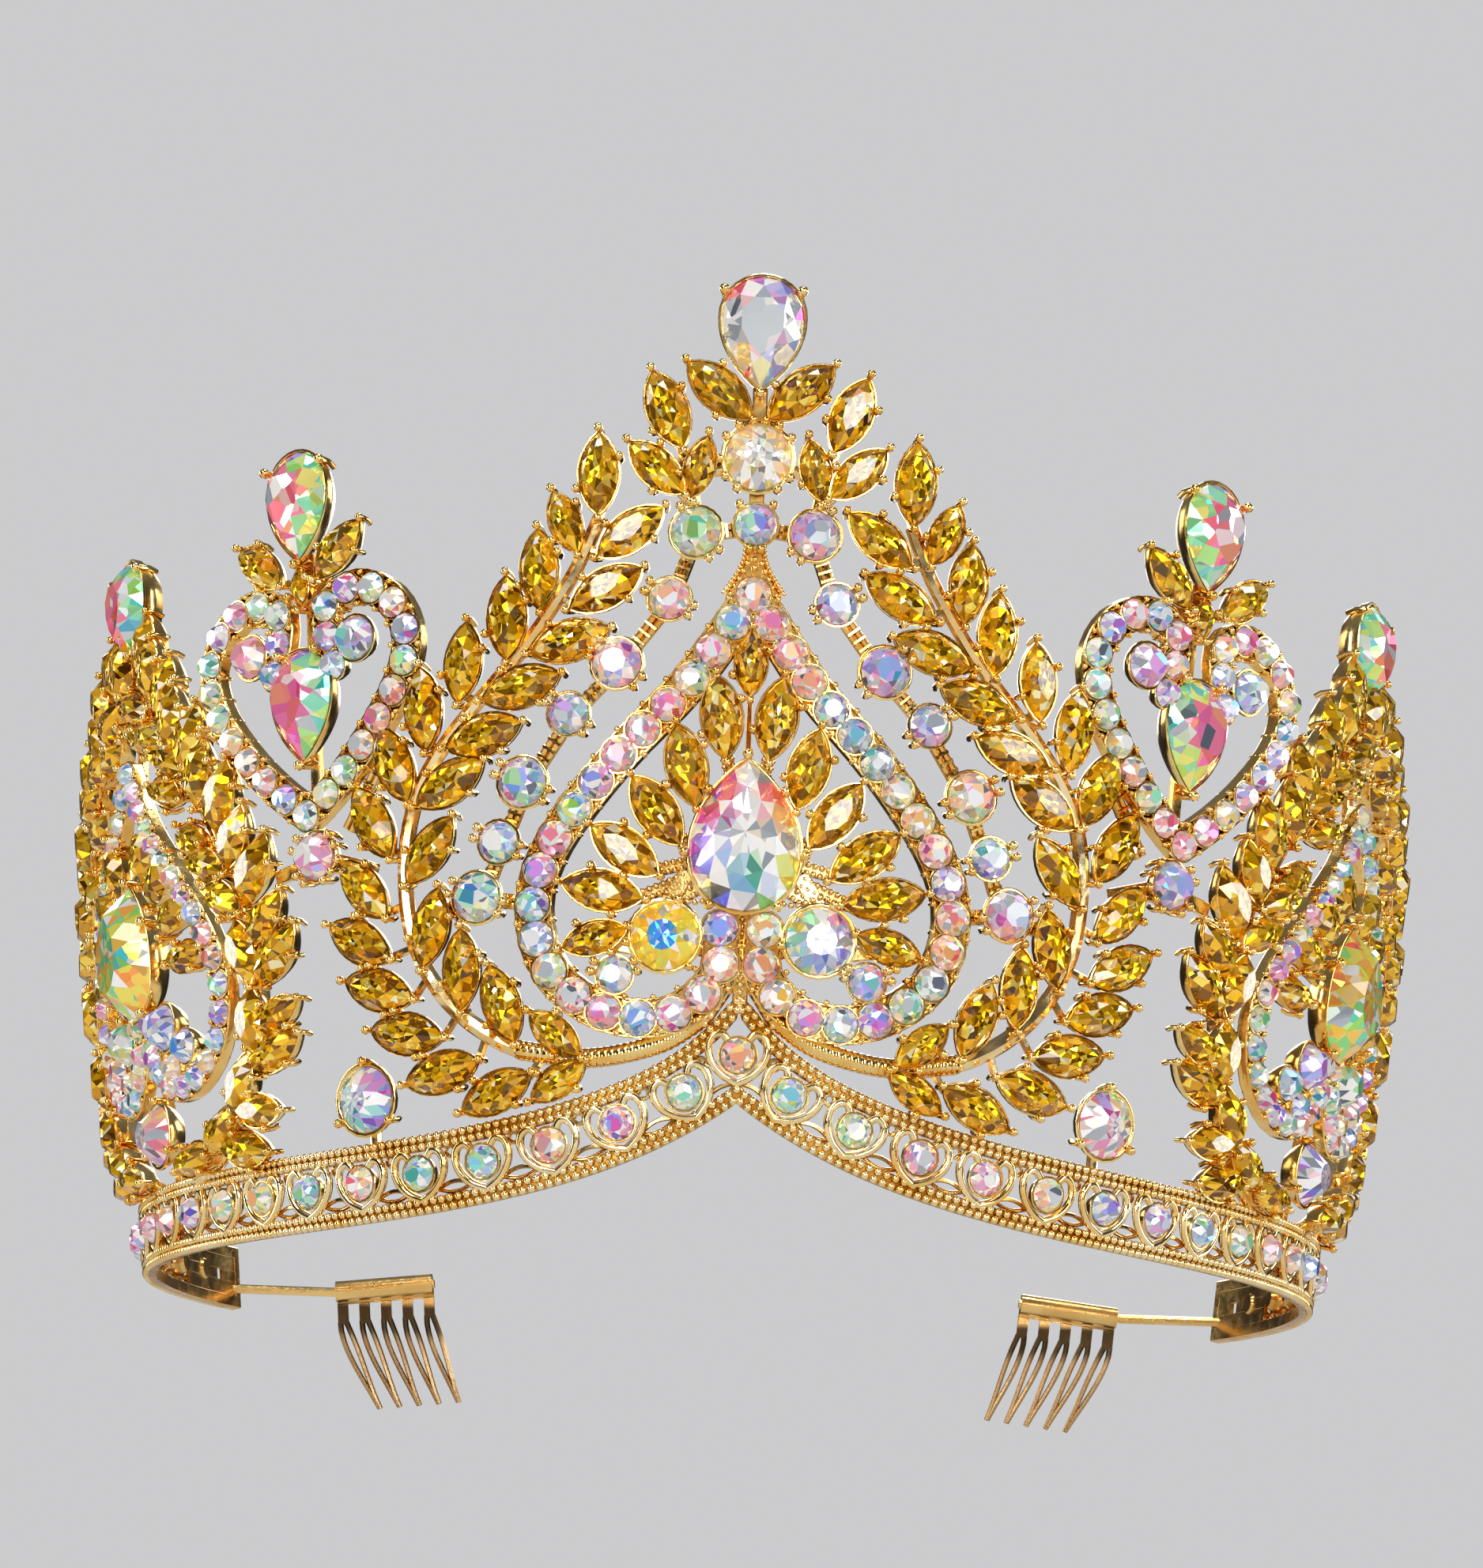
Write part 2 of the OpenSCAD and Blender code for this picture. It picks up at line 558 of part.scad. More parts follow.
module heart_ornament(side) {
    curve = spaced(smooth(HEART_KNOTS, 3), 14);
    for (half = SIDES)
        strip([for (p = curve) [side * (heart_run + half * p.x), p.y]], heart_strip_w);
    for (half = SIDES)
        round_seat([side * (heart_run + half * HEART_EYE[0]), HEART_EYE[1]], HEART_EYE[2]);
    leaf_seats(HEART_LEAVES, side, [for (z = [76:0.5:84]) [heart_run, z]]);
    pear_seat([side * heart_pear_at.x, heart_pear_at.y], 180, small_pear_w, small_pear_l);
    pear_seat([side * heart_top_pear_at.x, heart_top_pear_at.y], 180, small_pear_w, small_pear_l);
    round_seat([side * heart_foot.x, heart_foot.y], heart_foot_d, 10);
    strip([[side * heart_run, 85], [side * heart_run, 47]], stalk_w);
    strip([[side * 44, 44], [side * heart_foot.x, heart_foot.y], [side * 58, 44.5]], string_bar_w);
    strip([[side * 41, 60], [side * 47, 50], [side * heart_foot.x, heart_foot.y]], string_bar_w);
}

module side_panel(side) {
    for (half = SIDES) {
        strip([for (p = small_panel(OUTLINE_KNOTS, half)) [side * p.x, p.y]], side_strip_w);
        leaf_seats(shifted(SIDE_CENTRE_LEAVES, side_run, half), side,
                   edge_of(side_pear_at, pear_outline(large_pear_w, large_pear_l)));
        round_seat([side * (side_run + half * side_round.x), side_round.y], side_round_d);
        branch(spaced(about(SIDE_STEM, side_run, half), 16), stem_w,
               shifted(SIDE_LAUREL, side_run, half), side, seat_top - swell_room);
    }
    pear_seat([side * side_pear_at.x, side_pear_at.y], 0, large_pear_w, large_pear_l);
    pear_seat([side * side_top_pear_at.x, side_top_pear_at.y], 180, small_pear_w, small_pear_l);
    strip([[side * side_run, 84], [side * side_run, 60]], 2);
    round_seat([side * side_foot.x, side_foot.y], large_round_d, 10);
    strip([[side * side_run, 24], [side * side_run, 8]], stalk_w);
}

// A short rod that runs inward from the band's end and carries a comb
rod_level = 15.2;
rod_height = 3;
comb_turn = 6.5;
function rod_start(side) = let (a = band_end_angle - 1)
    [side * band_radius * sin(a), -band_radius * cos(a), rod_height];
function rod_knee(side) = rod_start(side) + [-side * rod_level, 1.2, 0.1];
function rod_end(side) = rod_knee(side) + (comb_w + 0.9) * [-side * cos(comb_turn), 0, sin(comb_turn)];

module rod_stretch(from, to) {
    hull() for (end = [from, to])
        translate(end) rotate([0, 90, 0]) cylinder(d = rod_d, h = 0.2, center = true, $fn = 8);
}
module rod(side) {
    rod_stretch(rod_start(side), rod_knee(side));
    rod_stretch(rod_knee(side), rod_end(side));
}

module frame() {
    color(gold) {
        band();
        for (side = SIDES) {
            front_panel_half(side);
            string_half(side);
            crest_half(side);
            laurel_half(side);
            heart_ornament(side);
            side_panel(side);
            round_seat([side * foot_at.x, foot_at.y], large_round_d, 10);
            strip([[side * foot_at.x, foot_at.y], [side * foot_at.x, 9]], stalk_w);
            rod(side);
        }
        strip([[0, neck_top], [0, 73]], 2.6);
        leaf_seats([centre_top_leaf], RIGHT, [[0, 62]]);
        pear_seat(centre_pear_at, 0, large_pear_w, large_pear_l);
        strip([[0, 66], [0, 52]], 1.4);
        strip([[0, 40], [0, 27]], 1.6);
        round_seat([0, STRING_CENTRE[1]], STRING_CENTRE[2]);
        round_seat(crest_round_at, large_round_d, 10);
        pear_seat(crest_pear_at, 180, small_pear_w, small_pear_l);
        strip([[0, 104], [0, neck_top]], 1.8);
    }
}

// A comb stamped from sheet: its upper edge is rolled round the rod, and each tooth is a
// long loop that closes to a point
teeth = 5;
sheet = 0.9;
roll_d = 3.6;
tooth_pitch = comb_w / teeth;
slot_w = 0.9;
tooth_slant = 5;
spine_h = 3.2;
// The teeth lean towards the middle of the crown, the more the nearer to their tips
function tooth_x(y) = tooth_slant * y / tooth_l;
function tooth_row(y, half, s) = [s * half + tooth_x(y), y];
module tooth_outline() {
    half = tooth_pitch / 2 - 0.35;
    rows = [[0, half], [-0.45 * tooth_l, half], [-0.8 * tooth_l, 0.7 * half], [-tooth_l, 0.25]];
    polygon(concat([for (r = rows) tooth_row(r.x, r.y, 1)], [for (i = [3:-1:0]) tooth_row(rows[i].x, rows[i].y, -1)]));
}
module tooth_slot() {
    rows = [[-1.5, slot_w / 2], [-0.5 * tooth_l, slot_w / 2 - 0.1], [-0.78 * tooth_l, 0.15]];
    polygon(concat([for (r = rows) tooth_row(r.x, r.y, 1)], [for (i = [2:-1:0]) tooth_row(rows[i].x, rows[i].y, -1)]));
}
module comb_sheet() {
    difference() {
        union() {
            translate([0, 1 - spine_h]) square([comb_w, spine_h]);
            for (i = [0:1:teeth - 1])
                translate([(i + 0.5) * tooth_pitch, 1.1 - spine_h]) tooth_outline();
        }
        for (i = [0:1:teeth - 1])
            translate([(i + 0.5) * tooth_pitch, 1.1 - spine_h]) tooth_slot();
    }
}
module comb(side) {
    color(steel)
        translate(rod_end(side)) mirror([side == RIGHT ? 0 : 1, 0, 0]) rotate([0, comb_turn, 0]) {
            difference() {
                translate([0.3, 0, 0]) rotate([0, 90, 0]) cylinder(d = roll_d, h = comb_w, $fn = 20);
                translate([-1, 0, 0]) rotate([0, 90, 0])
                    cylinder(d = rod_d + 0.5, h = comb_w + 3, $fn = 20);
            }
            translate([0.3, roll_d / 2 - sheet - 0.02, -1.2])
                rotate([90, 0, 0]) mirror([0, 0, 1]) linear_extrude(sheet) comb_sheet();
        }
}

module one_pear(at, a, w, l) { color(crystal) pear_stone(at, a, w, l); }
module one_round(at, d) { color(crystal) large_round(at, d); }
module string_rounds(side) {
    color(crystal) for (r = STRING) small_round([side * r[0], r[1]], r[2]);
}
module outline_rounds() {
    color(crystal) {
        small_round(outline_places[0], outline_round_d);
        for (side = SIDES)
            for (i = [1:1:outline_count - 1])
                small_round([side * outline_places[i].x, outline_places[i].y], outline_round_d);
    }
}
module centre_leaves() {
    color(topaz) {
        leaf_stones([centre_top_leaf], RIGHT);
        for (side = SIDES) leaf_stones(CENTRE_LEAVES, side);
    }
}
module crest_leaves() { color(topaz) for (side = SIDES) leaf_stones(CREST_LEAVES, side); }
module laurel(side) { color(topaz) leaf_stones(LAUREL, side); }
module heart_leaves(side) { color(topaz) leaf_stones(HEART_LEAVES, side); }
module side_leaves(side) {
    color(topaz) for (half = SIDES) leaf_stones(shifted(SIDE_CENTRE_LEAVES, side_run, half), side);
}
module side_laurel(side) {
    color(topaz) for (half = SIDES) leaf_stones(shifted(SIDE_LAUREL, side_run, half), side);
}
function mirrored(p, side) = [side * p.x, p.y];

frame();
comb(LEFT);  // comb_left
comb(RIGHT);  // comb_right
one_pear(centre_pear_at, 0, large_pear_w, large_pear_l);  // centre_pear
one_round(mirrored(panel_round, LEFT), large_round_d);  // panel_round_left
one_round(panel_round, large_round_d);  // panel_round_right
one_pear(crest_pear_at, 180, small_pear_w, small_pear_l);  // crest_pear
one_round(crest_round_at, large_round_d);  // crest_round
one_round([0, STRING_CENTRE[1]], STRING_CENTRE[2]);  // string_centre_round
string_rounds(LEFT);  // string_rounds_left
string_rounds(RIGHT);  // string_rounds_right
outline_rounds();
centre_leaves();
crest_leaves();
laurel(LEFT);  // laurel_left
laurel(RIGHT);  // laurel_right
one_round(mirrored(foot_at, LEFT), large_round_d);  // foot_round_left
one_round(foot_at, large_round_d);  // foot_round_right
one_pear(mirrored(heart_pear_at, LEFT), 180, small_pear_w, small_pear_l);  // heart_pear_left
one_pear(heart_pear_at, 180, small_pear_w, small_pear_l);  // heart_pear_right
one_pear(mirrored(heart_top_pear_at, LEFT), 180, small_pear_w, small_pear_l);  // heart_top_pear_left
one_pear(heart_top_pear_at, 180, small_pear_w, small_pear_l);  // heart_top_pear_right
one_round(mirrored(heart_foot, LEFT), heart_foot_d);  // heart_foot_round_left
one_round(heart_foot, heart_foot_d);  // heart_foot_round_right
heart_leaves(LEFT);  // heart_leaves_left
heart_leaves(RIGHT);  // heart_leaves_right
one_pear(mirrored(side_pear_at, LEFT), 0, large_pear_w, large_pear_l);  // side_pear_left
one_pear(side_pear_at, 0, large_pear_w, large_pear_l);  // side_pear_right
one_pear(mirrored(side_top_pear_at, LEFT), 180, small_pear_w, small_pear_l);  // side_top_pear_left
one_pear(side_top_pear_at, 180, small_pear_w, small_pear_l);  // side_top_pear_right
one_round(mirrored(side_foot, LEFT), large_round_d);  // side_foot_round_left
one_round(side_foot, large_round_d);  // side_foot_round_right
side_leaves(LEFT);  // side_leaves_left
side_leaves(RIGHT);  // side_leaves_right
side_laurel(LEFT);  // side_laurel_left
side_laurel(RIGHT);  // side_laurel_right
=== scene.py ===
"""Baroque crown: gilt cast work, cut stones and combs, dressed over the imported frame."""
import json
import math

import bmesh
import bpy
import numpy as np
from mathutils import Matrix, Vector

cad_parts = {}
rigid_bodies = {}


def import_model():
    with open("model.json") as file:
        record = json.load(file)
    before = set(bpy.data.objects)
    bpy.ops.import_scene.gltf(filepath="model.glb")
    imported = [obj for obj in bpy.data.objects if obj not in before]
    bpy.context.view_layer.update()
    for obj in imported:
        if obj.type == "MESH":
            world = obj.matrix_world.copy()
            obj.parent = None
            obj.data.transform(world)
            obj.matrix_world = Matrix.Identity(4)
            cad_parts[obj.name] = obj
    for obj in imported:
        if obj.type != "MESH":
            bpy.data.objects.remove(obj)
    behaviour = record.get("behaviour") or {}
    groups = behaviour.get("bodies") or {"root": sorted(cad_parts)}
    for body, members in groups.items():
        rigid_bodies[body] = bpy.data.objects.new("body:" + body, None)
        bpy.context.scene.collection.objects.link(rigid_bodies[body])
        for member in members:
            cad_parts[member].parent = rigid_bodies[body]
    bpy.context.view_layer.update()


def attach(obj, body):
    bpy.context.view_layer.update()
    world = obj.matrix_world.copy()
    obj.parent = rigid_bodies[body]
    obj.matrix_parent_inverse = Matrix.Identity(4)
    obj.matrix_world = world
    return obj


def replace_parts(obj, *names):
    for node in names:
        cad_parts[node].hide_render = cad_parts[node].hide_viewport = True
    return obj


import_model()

MM = 0.001
SEED = 11
LEFT, RIGHT = -1, 1
SIDES = (LEFT, RIGHT)
END_OF = {LEFT: "_left", RIGHT: "_right"}

# The wall that the metal follows, in millimetres; it swells a little over the sides
BAND_RADIUS = 82.0
FLARE = 0.15
LEAN = math.atan(FLARE)
SWELL = 3.0
SWELL_START, SWELL_RISE = 48, 22
SWELL_END, SWELL_FALL = 112, 20
SWELL_LOW, SWELL_TALL = 8, 82

# Heights out from the wall
INNER_FACE, OUTER_FACE = -0.8, 0.8
STRIP_BACK, CHANNEL_FLOOR, CHANNEL_RIM = 0.35, 1.0, 1.95
STRIP_BALLS = 1.35
STONE_FOOT = 1.72
OVER_STEM = 2.5


def clamped(x):
    return min(1.0, max(0.0, x))


def ease(x):
    t = clamped(x)
    return t * t * (3 - 2 * t)


def wall_radius(run, height):
    swell = SWELL * ease((abs(run) - SWELL_START) / SWELL_RISE)
    swell *= 1 - ease((abs(run) - SWELL_END) / SWELL_FALL)
    rise = math.sin(math.pi * clamped((height - SWELL_LOW) / SWELL_TALL))
    return BAND_RADIUS + FLARE * height + swell * rise


def wall_axes(run):
    """Along the band, up the wall and out of it."""
    a = run / BAND_RADIUS
    along = np.array([math.cos(a), math.sin(a), 0])
    up = np.array([math.sin(a) * math.sin(LEAN), -math.cos(a) * math.sin(LEAN), math.cos(LEAN)])
    out = np.array([math.sin(a) * math.cos(LEAN), -math.cos(a) * math.cos(LEAN), -math.sin(LEAN)])
    return along, up, out


def on_wall(run, height):
    a = run / BAND_RADIUS
    r = wall_radius(run, height)
    return np.array([r * math.sin(a), -r * math.cos(a), height])


def turned_axes(run, turn):
    """Axes of something on the wall that leans by turn degrees towards the larger run."""
    along, up, out = wall_axes(run)
    c, s = math.cos(math.radians(turn)), math.sin(math.radians(turn))
    return along * c - up * s, along * s + up * c, out


def beside(place, turn, x, y, h):
    """The point x to the side of a place on the wall, y ahead of it and h out from the wall."""
    across, ahead, out = turned_axes(place[0], turn)
    return on_wall(*place) + across * x + ahead * y + out * h


def stretch(place):
    return wall_radius(*place) / BAND_RADIUS


def place_ahead(place, turn, y):
    """The place on the wall y ahead of another, for something that leans by turn degrees."""
    c, s = math.cos(math.radians(turn)), math.sin(math.radians(turn))
    return (place[0] + y * s / stretch(place), place[1] + y * c)


def at(side, spot, half=1, middle=0):
    """A spot given as run and height, from the front or from a middle, on a side and half of it."""
    return (side * (middle + half * spot[0]), spot[1])


# Paths on the wall
def step_between(p, q):
    return np.array([(q[0] - p[0]) * stretch(p), q[1] - p[1]])


def path_turn(path, i):
    a = step_between(path[max(0, i - 1)], path[max(1, i)])
    b = step_between(path[min(i, len(path) - 2)], path[min(i + 1, len(path) - 1)])
    d = a / np.linalg.norm(a) + b / np.linalg.norm(b)
    return math.degrees(math.atan2(d[0], d[1]))


def smooth(knots, pieces):
    """A curve through the knots, with so many pieces between two of them."""
    knots = [np.array(k, float) for k in knots]
    last = len(knots) - 1
    curve = []
    for i in range(last):
        a, b, c, d = knots[max(0, i - 1)], knots[i], knots[i + 1], knots[min(last, i + 2)]
        for k in range(pieces + (i == last - 1)):
            t = k / pieces
            curve.append(0.5 * (2 * b + (c - a) * t + (2 * a - 5 * b + 4 * c - d) * t * t
                                + (3 * b - a - 3 * c + d) * t ** 3))
    return curve


def path_lengths(path):
    steps = [np.linalg.norm(step_between(p, q)) for p, q in zip(path, path[1:])]
    return np.concatenate([[0], np.cumsum(steps)])


def at_length(path, lengths, s):
    return tuple(float(np.interp(s, lengths, [p[axis] for p in path])) for axis in (0, 1))


def spaced(path, count):
    lengths = path_lengths(path)
    return [at_length(path, lengths, s) for s in np.linspace(0, lengths[-1], count)]


def pitched(path, pitch):
    """Places along a path at about the given pitch, its two ends among them."""
    return spaced(path, round(path_lengths(path)[-1] / pitch) + 1)


def mirrored(path, side):
    return [at(side, p) for p in path]


def moved(path, run, half, scale=1.0, drop=0.0):
    return [(run + half * p[0] * scale, p[1] * scale + drop) for p in path]


def angles(count):
    """So many angles, evenly round a circle."""
    return [2 * math.pi * k / count for k in range(count)]


# Mesh building
class Shape:
    """Points in millimetres and faces, which become one piece."""

    def __init__(self):
        self.points = []
        self.faces = []

    def add(self, points, faces):
        first = len(self.points)
        self.points += [tuple(p) for p in points]
        self.faces += [[first + i for i in f] for f in faces]

    def skin(self, rows, closed=False):
        """A closed skin over rows of points, all with the same count."""
        count, size = len(rows), len(rows[0])
        faces = []
        for i in range(count if closed else count - 1):
            a, b = i * size, (i + 1) % count * size
            faces += [[a + k, b + k, b + (k + 1) % size, a + (k + 1) % size] for k in range(size)]
        if not closed:
            faces += [list(range(size))[::-1], [(count - 1) * size + k for k in range(size)]]
        self.add([p for row in rows for p in row], faces)

    def sweep(self, path, profile):
        """A profile of (side, height out) pairs carried along a path on the wall."""
        self.skin([[beside(p, path_turn(path, i), x, 0, h) for x, h in profile]
                   for i, p in enumerate(path)])

    def tube(self, points, radius, sides=8):
        """A round wire through points in space; the radius may be one number or one for each point."""
        points = [np.array(p, float) for p in points]
        radii = radius if hasattr(radius, "__len__") else [radius] * len(points)
        rows = []
        side = None
        for i, p in enumerate(points):
            ahead = points[min(i + 1, len(points) - 1)] - points[max(i - 1, 0)]
            ahead = ahead / np.linalg.norm(ahead)
            if side is None:
                side = np.cross(ahead, [0.3, 0.2, 0.9])
            side = side - ahead * np.dot(side, ahead)
            side = side / np.linalg.norm(side)
            third = np.cross(ahead, side)
            rows.append([p + radii[i] * (side * math.cos(t) + third * math.sin(t)) for t in angles(sides)])
        self.skin(rows)

    def ball(self, centre, radius, sides=8, rings=5):
        x, y, z = centre
        points = []
        for i in range(1, rings):
            t = math.pi * i / rings
            wide = radius * math.sin(t)
            points += [(x + wide * math.cos(a), y + wide * math.sin(a), z - radius * math.cos(t))
                       for a in angles(sides)]
        last = len(points) - sides
        faces = [[i + k, i + (k + 1) % sides, i + sides + (k + 1) % sides, i + sides + k]
                 for i in range(0, last, sides) for k in range(sides)]
        bottom, top = len(points), len(points) + 1
        faces += [[(k + 1) % sides, k, bottom] for k in range(sides)]
        faces += [[last + k, last + (k + 1) % sides, top] for k in range(sides)]
        self.add(points + [(x, y, z - radius), (x, y, z + radius)], faces)

    def mesh(self, name, scale=1.0):
        made = bpy.data.meshes.new(name)
        made.from_pydata([[c * scale for c in p] for p in self.points], [], self.faces)
        work = bmesh.new()
        work.from_mesh(made)
        bmesh.ops.recalc_face_normals(work, faces=work.faces)
        work.to_mesh(made)
        work.free()
        return made


def round_profile(width, middle, tall=None, sides=8):
    """A round or oval wire's profile, middle out from the wall."""
    tall = tall or width
    return [(width / 2 * math.cos(t), middle + tall / 2 * math.sin(t)) for t in angles(sides)]


def flat_profile(width, low, high, soft=0.15):
    """A strip's profile with softened edges."""
    w = width / 2
    return [(-w, low + soft), (-w + soft, low), (w - soft, low), (w, low + soft),
            (w, high - soft), (w - soft, high), (-w + soft, high), (-w, high - soft)]


def channel_profile(width):
    """A strip whose two edges stand up as smooth rims round a floor."""
    w = width / 2
    right = [(w - 0.15, STRIP_BACK), (w, STRIP_BACK + 0.2), (w, CHANNEL_RIM - 0.12), (w - 0.1, CHANNEL_RIM),
             (w - 0.26, CHANNEL_RIM), (w - 0.36, CHANNEL_RIM - 0.12), (w - 0.36, CHANNEL_FLOOR)]
    left = mirrored(right, LEFT)
    return left[:1] + right + left[:0:-1]


# Node trees
class Level:
    """A value in a node tree that can be used in sums."""

    def __init__(self, graph, socket):
        self.graph = graph
        self.socket = socket

    def worked(self, operation, *values):
        return self.graph.node("ShaderNodeMath", {"operation": operation}, dict(enumerate(values)))

    def __add__(self, other):
        return self.worked("ADD", self, other)

    def __sub__(self, other):
        return self.worked("SUBTRACT", self, other)

    def __rsub__(self, other):
        return self.worked("SUBTRACT", other, self)

    def __mul__(self, other):
        return self.worked("MULTIPLY", self, other)

    __radd__ = __add__
    __rmul__ = __mul__

    def root(self):
        return self.worked("SQRT", self)

    def wrapped(self):
        return self.worked("FRACT", self)

    def kept(self):
        """The value held between 0 and 1."""
        return self.graph.node("ShaderNodeClamp", {}, {0: self})

    def between(self, low, high):
        """0 below low, 1 above high and a smooth rise between."""
        return self.graph.node("ShaderNodeMapRange", {"interpolation_type": "SMOOTHSTEP"},
                               {0: self, 1: low, 2: high})


class Graph:
    """A node tree under way."""

    def __init__(self, tree):
        self.tree = tree
        tree.nodes.clear()

    def node(self, kind, settings=None, inputs=None, out=0):
        """Adds any node: its settings first, then the values or links of its sockets."""
        made = self.tree.nodes.new(kind)
        for name, value in (settings or {}).items():
            setattr(made, name, value)
        for key, value in (inputs or {}).items():
            if isinstance(value, Level):
                self.tree.links.new(value.socket, made.inputs[key])
            else:
                made.inputs[key].default_value = value
        return Level(self, made.outputs[out]) if made.outputs else None


class Paint(Graph):
    """A material, or a world, under way."""

    def __init__(self, name, family="materials"):
        self.owner = getattr(bpy.data, family).new(name)
        self.owner.use_nodes = True
        super().__init__(self.owner.node_tree)

    def ramp(self, value, stops, steps=False):
        made = self.node("ShaderNodeValToRGB", {}, {0: value})
        ramp = made.socket.node.color_ramp
        while len(ramp.elements) < len(stops):
            ramp.elements.new(0.5)
        for element, (place, colour) in zip(ramp.elements, stops):
            element.position = place
            element.color = (*colour, 1)
        if steps:
            ramp.interpolation = "CONSTANT"
        return made

    def mix(self, factor, a, b):
        a, b = [(*c, 1) if isinstance(c, tuple) else c for c in (a, b)]
        return self.node("ShaderNodeMix", {"data_type": "RGBA"}, {0: factor, 6: a, 7: b}, out=2)

    def place(self):
        return self.node("ShaderNodeTexCoord", out=3)

    def noise(self, scale, detail):
        inputs = {"Vector": self.place(), "Scale": scale, "Detail": detail}
        return self.node("ShaderNodeTexNoise", {}, inputs)

    def note(self, name, out=2):
        """An attribute that the piece carries."""
        return self.node("ShaderNodeAttribute", {"attribute_name": name}, out=out)

    def vector(self, operation, *values):
        return self.node("ShaderNodeVectorMath", {"operation": operation}, dict(enumerate(values)))

    def parts(self, vector):
        split = self.node("ShaderNodeSeparateXYZ", {}, {0: vector}).socket.node
        return [Level(self, split.outputs[k]) for k in range(3)]

    def bump(self, height, strength, distance):
        inputs = {"Height": height, "Strength": strength, "Distance": distance}
        return self.node("ShaderNodeBump", {}, inputs)

    def finish(self, **sockets):
        inputs = {key.replace("_", " ").title().replace("Ior", "IOR"): sockets[key] for key in sockets}
        skin = self.node("ShaderNodeBsdfPrincipled", {}, inputs)
        self.node("ShaderNodeOutputMaterial", {}, {"Surface": skin})
        return self.owner


# Materials
def out_of_wall(paint):
    """How far a point stands out from the wall, in millimetres, from its own place."""
    x, y, z = paint.parts(paint.place())
    return ((x * x + y * y).root() - z * FLARE) * 1000 - BAND_RADIUS


PALE_GOLD = (1.0, 0.74, 0.29)
RICH_GOLD = (0.86, 0.48, 0.09)
# The colour of the painted shade in the recesses
RECESS_SHADE_GOLD = (0.36, 0.12, 0.004)


def gilt(name, rough, grain, pale=PALE_GOLD, rich=RICH_GOLD, deep=RECESS_SHADE_GOLD):
    """Gold plate: pale where it is rubbed, richer in patches, and painted shade of deep orange in the
    recesses.
    """
    paint = Paint(name)
    patches = paint.noise(140, 3).between(0.38, 0.66)
    out = out_of_wall(paint)
    # Painted shade: deeper orange where the metal stands little out from the wall, in the recesses, half as
    # much on the inner face
    recess_shade = (1 - out.between(-0.6, 1.3)) * (out.between(-0.78, -0.4) * 0.5 + 0.5)
    colour = paint.mix(patches, pale, rich)
    colour = paint.mix(recess_shade * 0.72, colour, deep)
    fine = paint.noise(1500, 3)
    wavy = paint.noise(420, 2)
    return paint.finish(
        base_color=colour, metallic=1.0,
        roughness=wavy.between(0.3, 0.75) * 0.12 + rough + recess_shade * 0.08,
        normal=paint.bump(wavy * 0.7 + fine * 0.3, grain, 0.00025))


def worn_and_shadowed_comb():
    """Stamped comb metal: yellow on the rolled spine, bronze and duller down the teeth, with a painted
    shadow, nearly black, at the tops of the teeth.
    """
    paint = Paint("comb_worn_gilt")
    height = paint.parts(paint.place())[2]
    down = 1 - height.between(0.0010, 0.0022)
    root = down * height.between(-0.0045, -0.0020)
    patches = paint.noise(180, 3).between(0.35, 0.7)
    colour = paint.mix(patches, (0.95, 0.66, 0.26), (0.82, 0.52, 0.17))
    colour = paint.mix(down * 0.85, colour, (0.36, 0.24, 0.13))
    # Painted shadow: nearly black at the tops of the teeth
    colour = paint.mix(root * 0.9, colour, (0.04, 0.025, 0.01))
    scratches = paint.noise(900, 4)
    return paint.finish(base_color=colour, metallic=1.0, roughness=patches * 0.12 + down * 0.1 + 0.2,
                        normal=paint.bump(scratches, 0.25, 0.0002))


def cut_glass(name, colour_and_reflections_of, cell, tilt=0.16, rough=0.04, metal=0.4, glow=0.10):
    """Foiled glass: painted reflections of the cuts below show in each facet as a mosaic, each bit with its
    own slant, and a faint painted glow of the same colour lifts it.
    """
    paint = Paint(name)
    glint, slant = paint.note("glint"), paint.note("slant", out=1)
    shifted = paint.vector("MULTIPLY_ADD", slant, (4 * MM,) * 3, paint.place())
    cells = paint.node("ShaderNodeTexVoronoi", {}, {"Vector": shifted, "Scale": 1 / (cell * MM)}, out=1)
    bits = paint.parts(cells)
    leans = paint.vector("MULTIPLY_ADD", cells, (2 * tilt,) * 3, (-tilt,) * 3)
    slants = paint.vector("MULTIPLY_ADD", slant, (tilt,) * 3, leans)
    face = paint.node("ShaderNodeNewGeometry", out=1)
    seen = paint.vector("NORMALIZE", paint.vector("ADD", face, slants))
    colour = colour_and_reflections_of(paint, glint, bits)
    # Emission: a faint painted glow in the same colour, lifting the stone
    return paint.finish(
        base_color=colour, metallic=metal, roughness=bits[1] * 0.08 + rough, normal=seen,
        specular_ior_level=0.05, coat_weight=1.0, coat_roughness=0.015, coat_ior=1.55,
        emission_color=colour, emission_strength=glow)


# Topaz: amber tones of its own, with painted reflections of the cuts below, from dark brown to pale yellow
# glints
TOPAZ_TONES_AND_REFLECTIONS = [
    (0.0, (0.10, 0.03, 0.0)), (0.14, (0.58, 0.27, 0.002)), (0.30, (0.90, 0.47, 0.006)),
    (0.46, (0.24, 0.08, 0.0)), (0.62, (1.0, 0.58, 0.02)), (0.73, (0.66, 0.31, 0.002)),
    (0.87, (1.0, 0.76, 0.12)), (0.96, (1.0, 0.92, 0.55))]
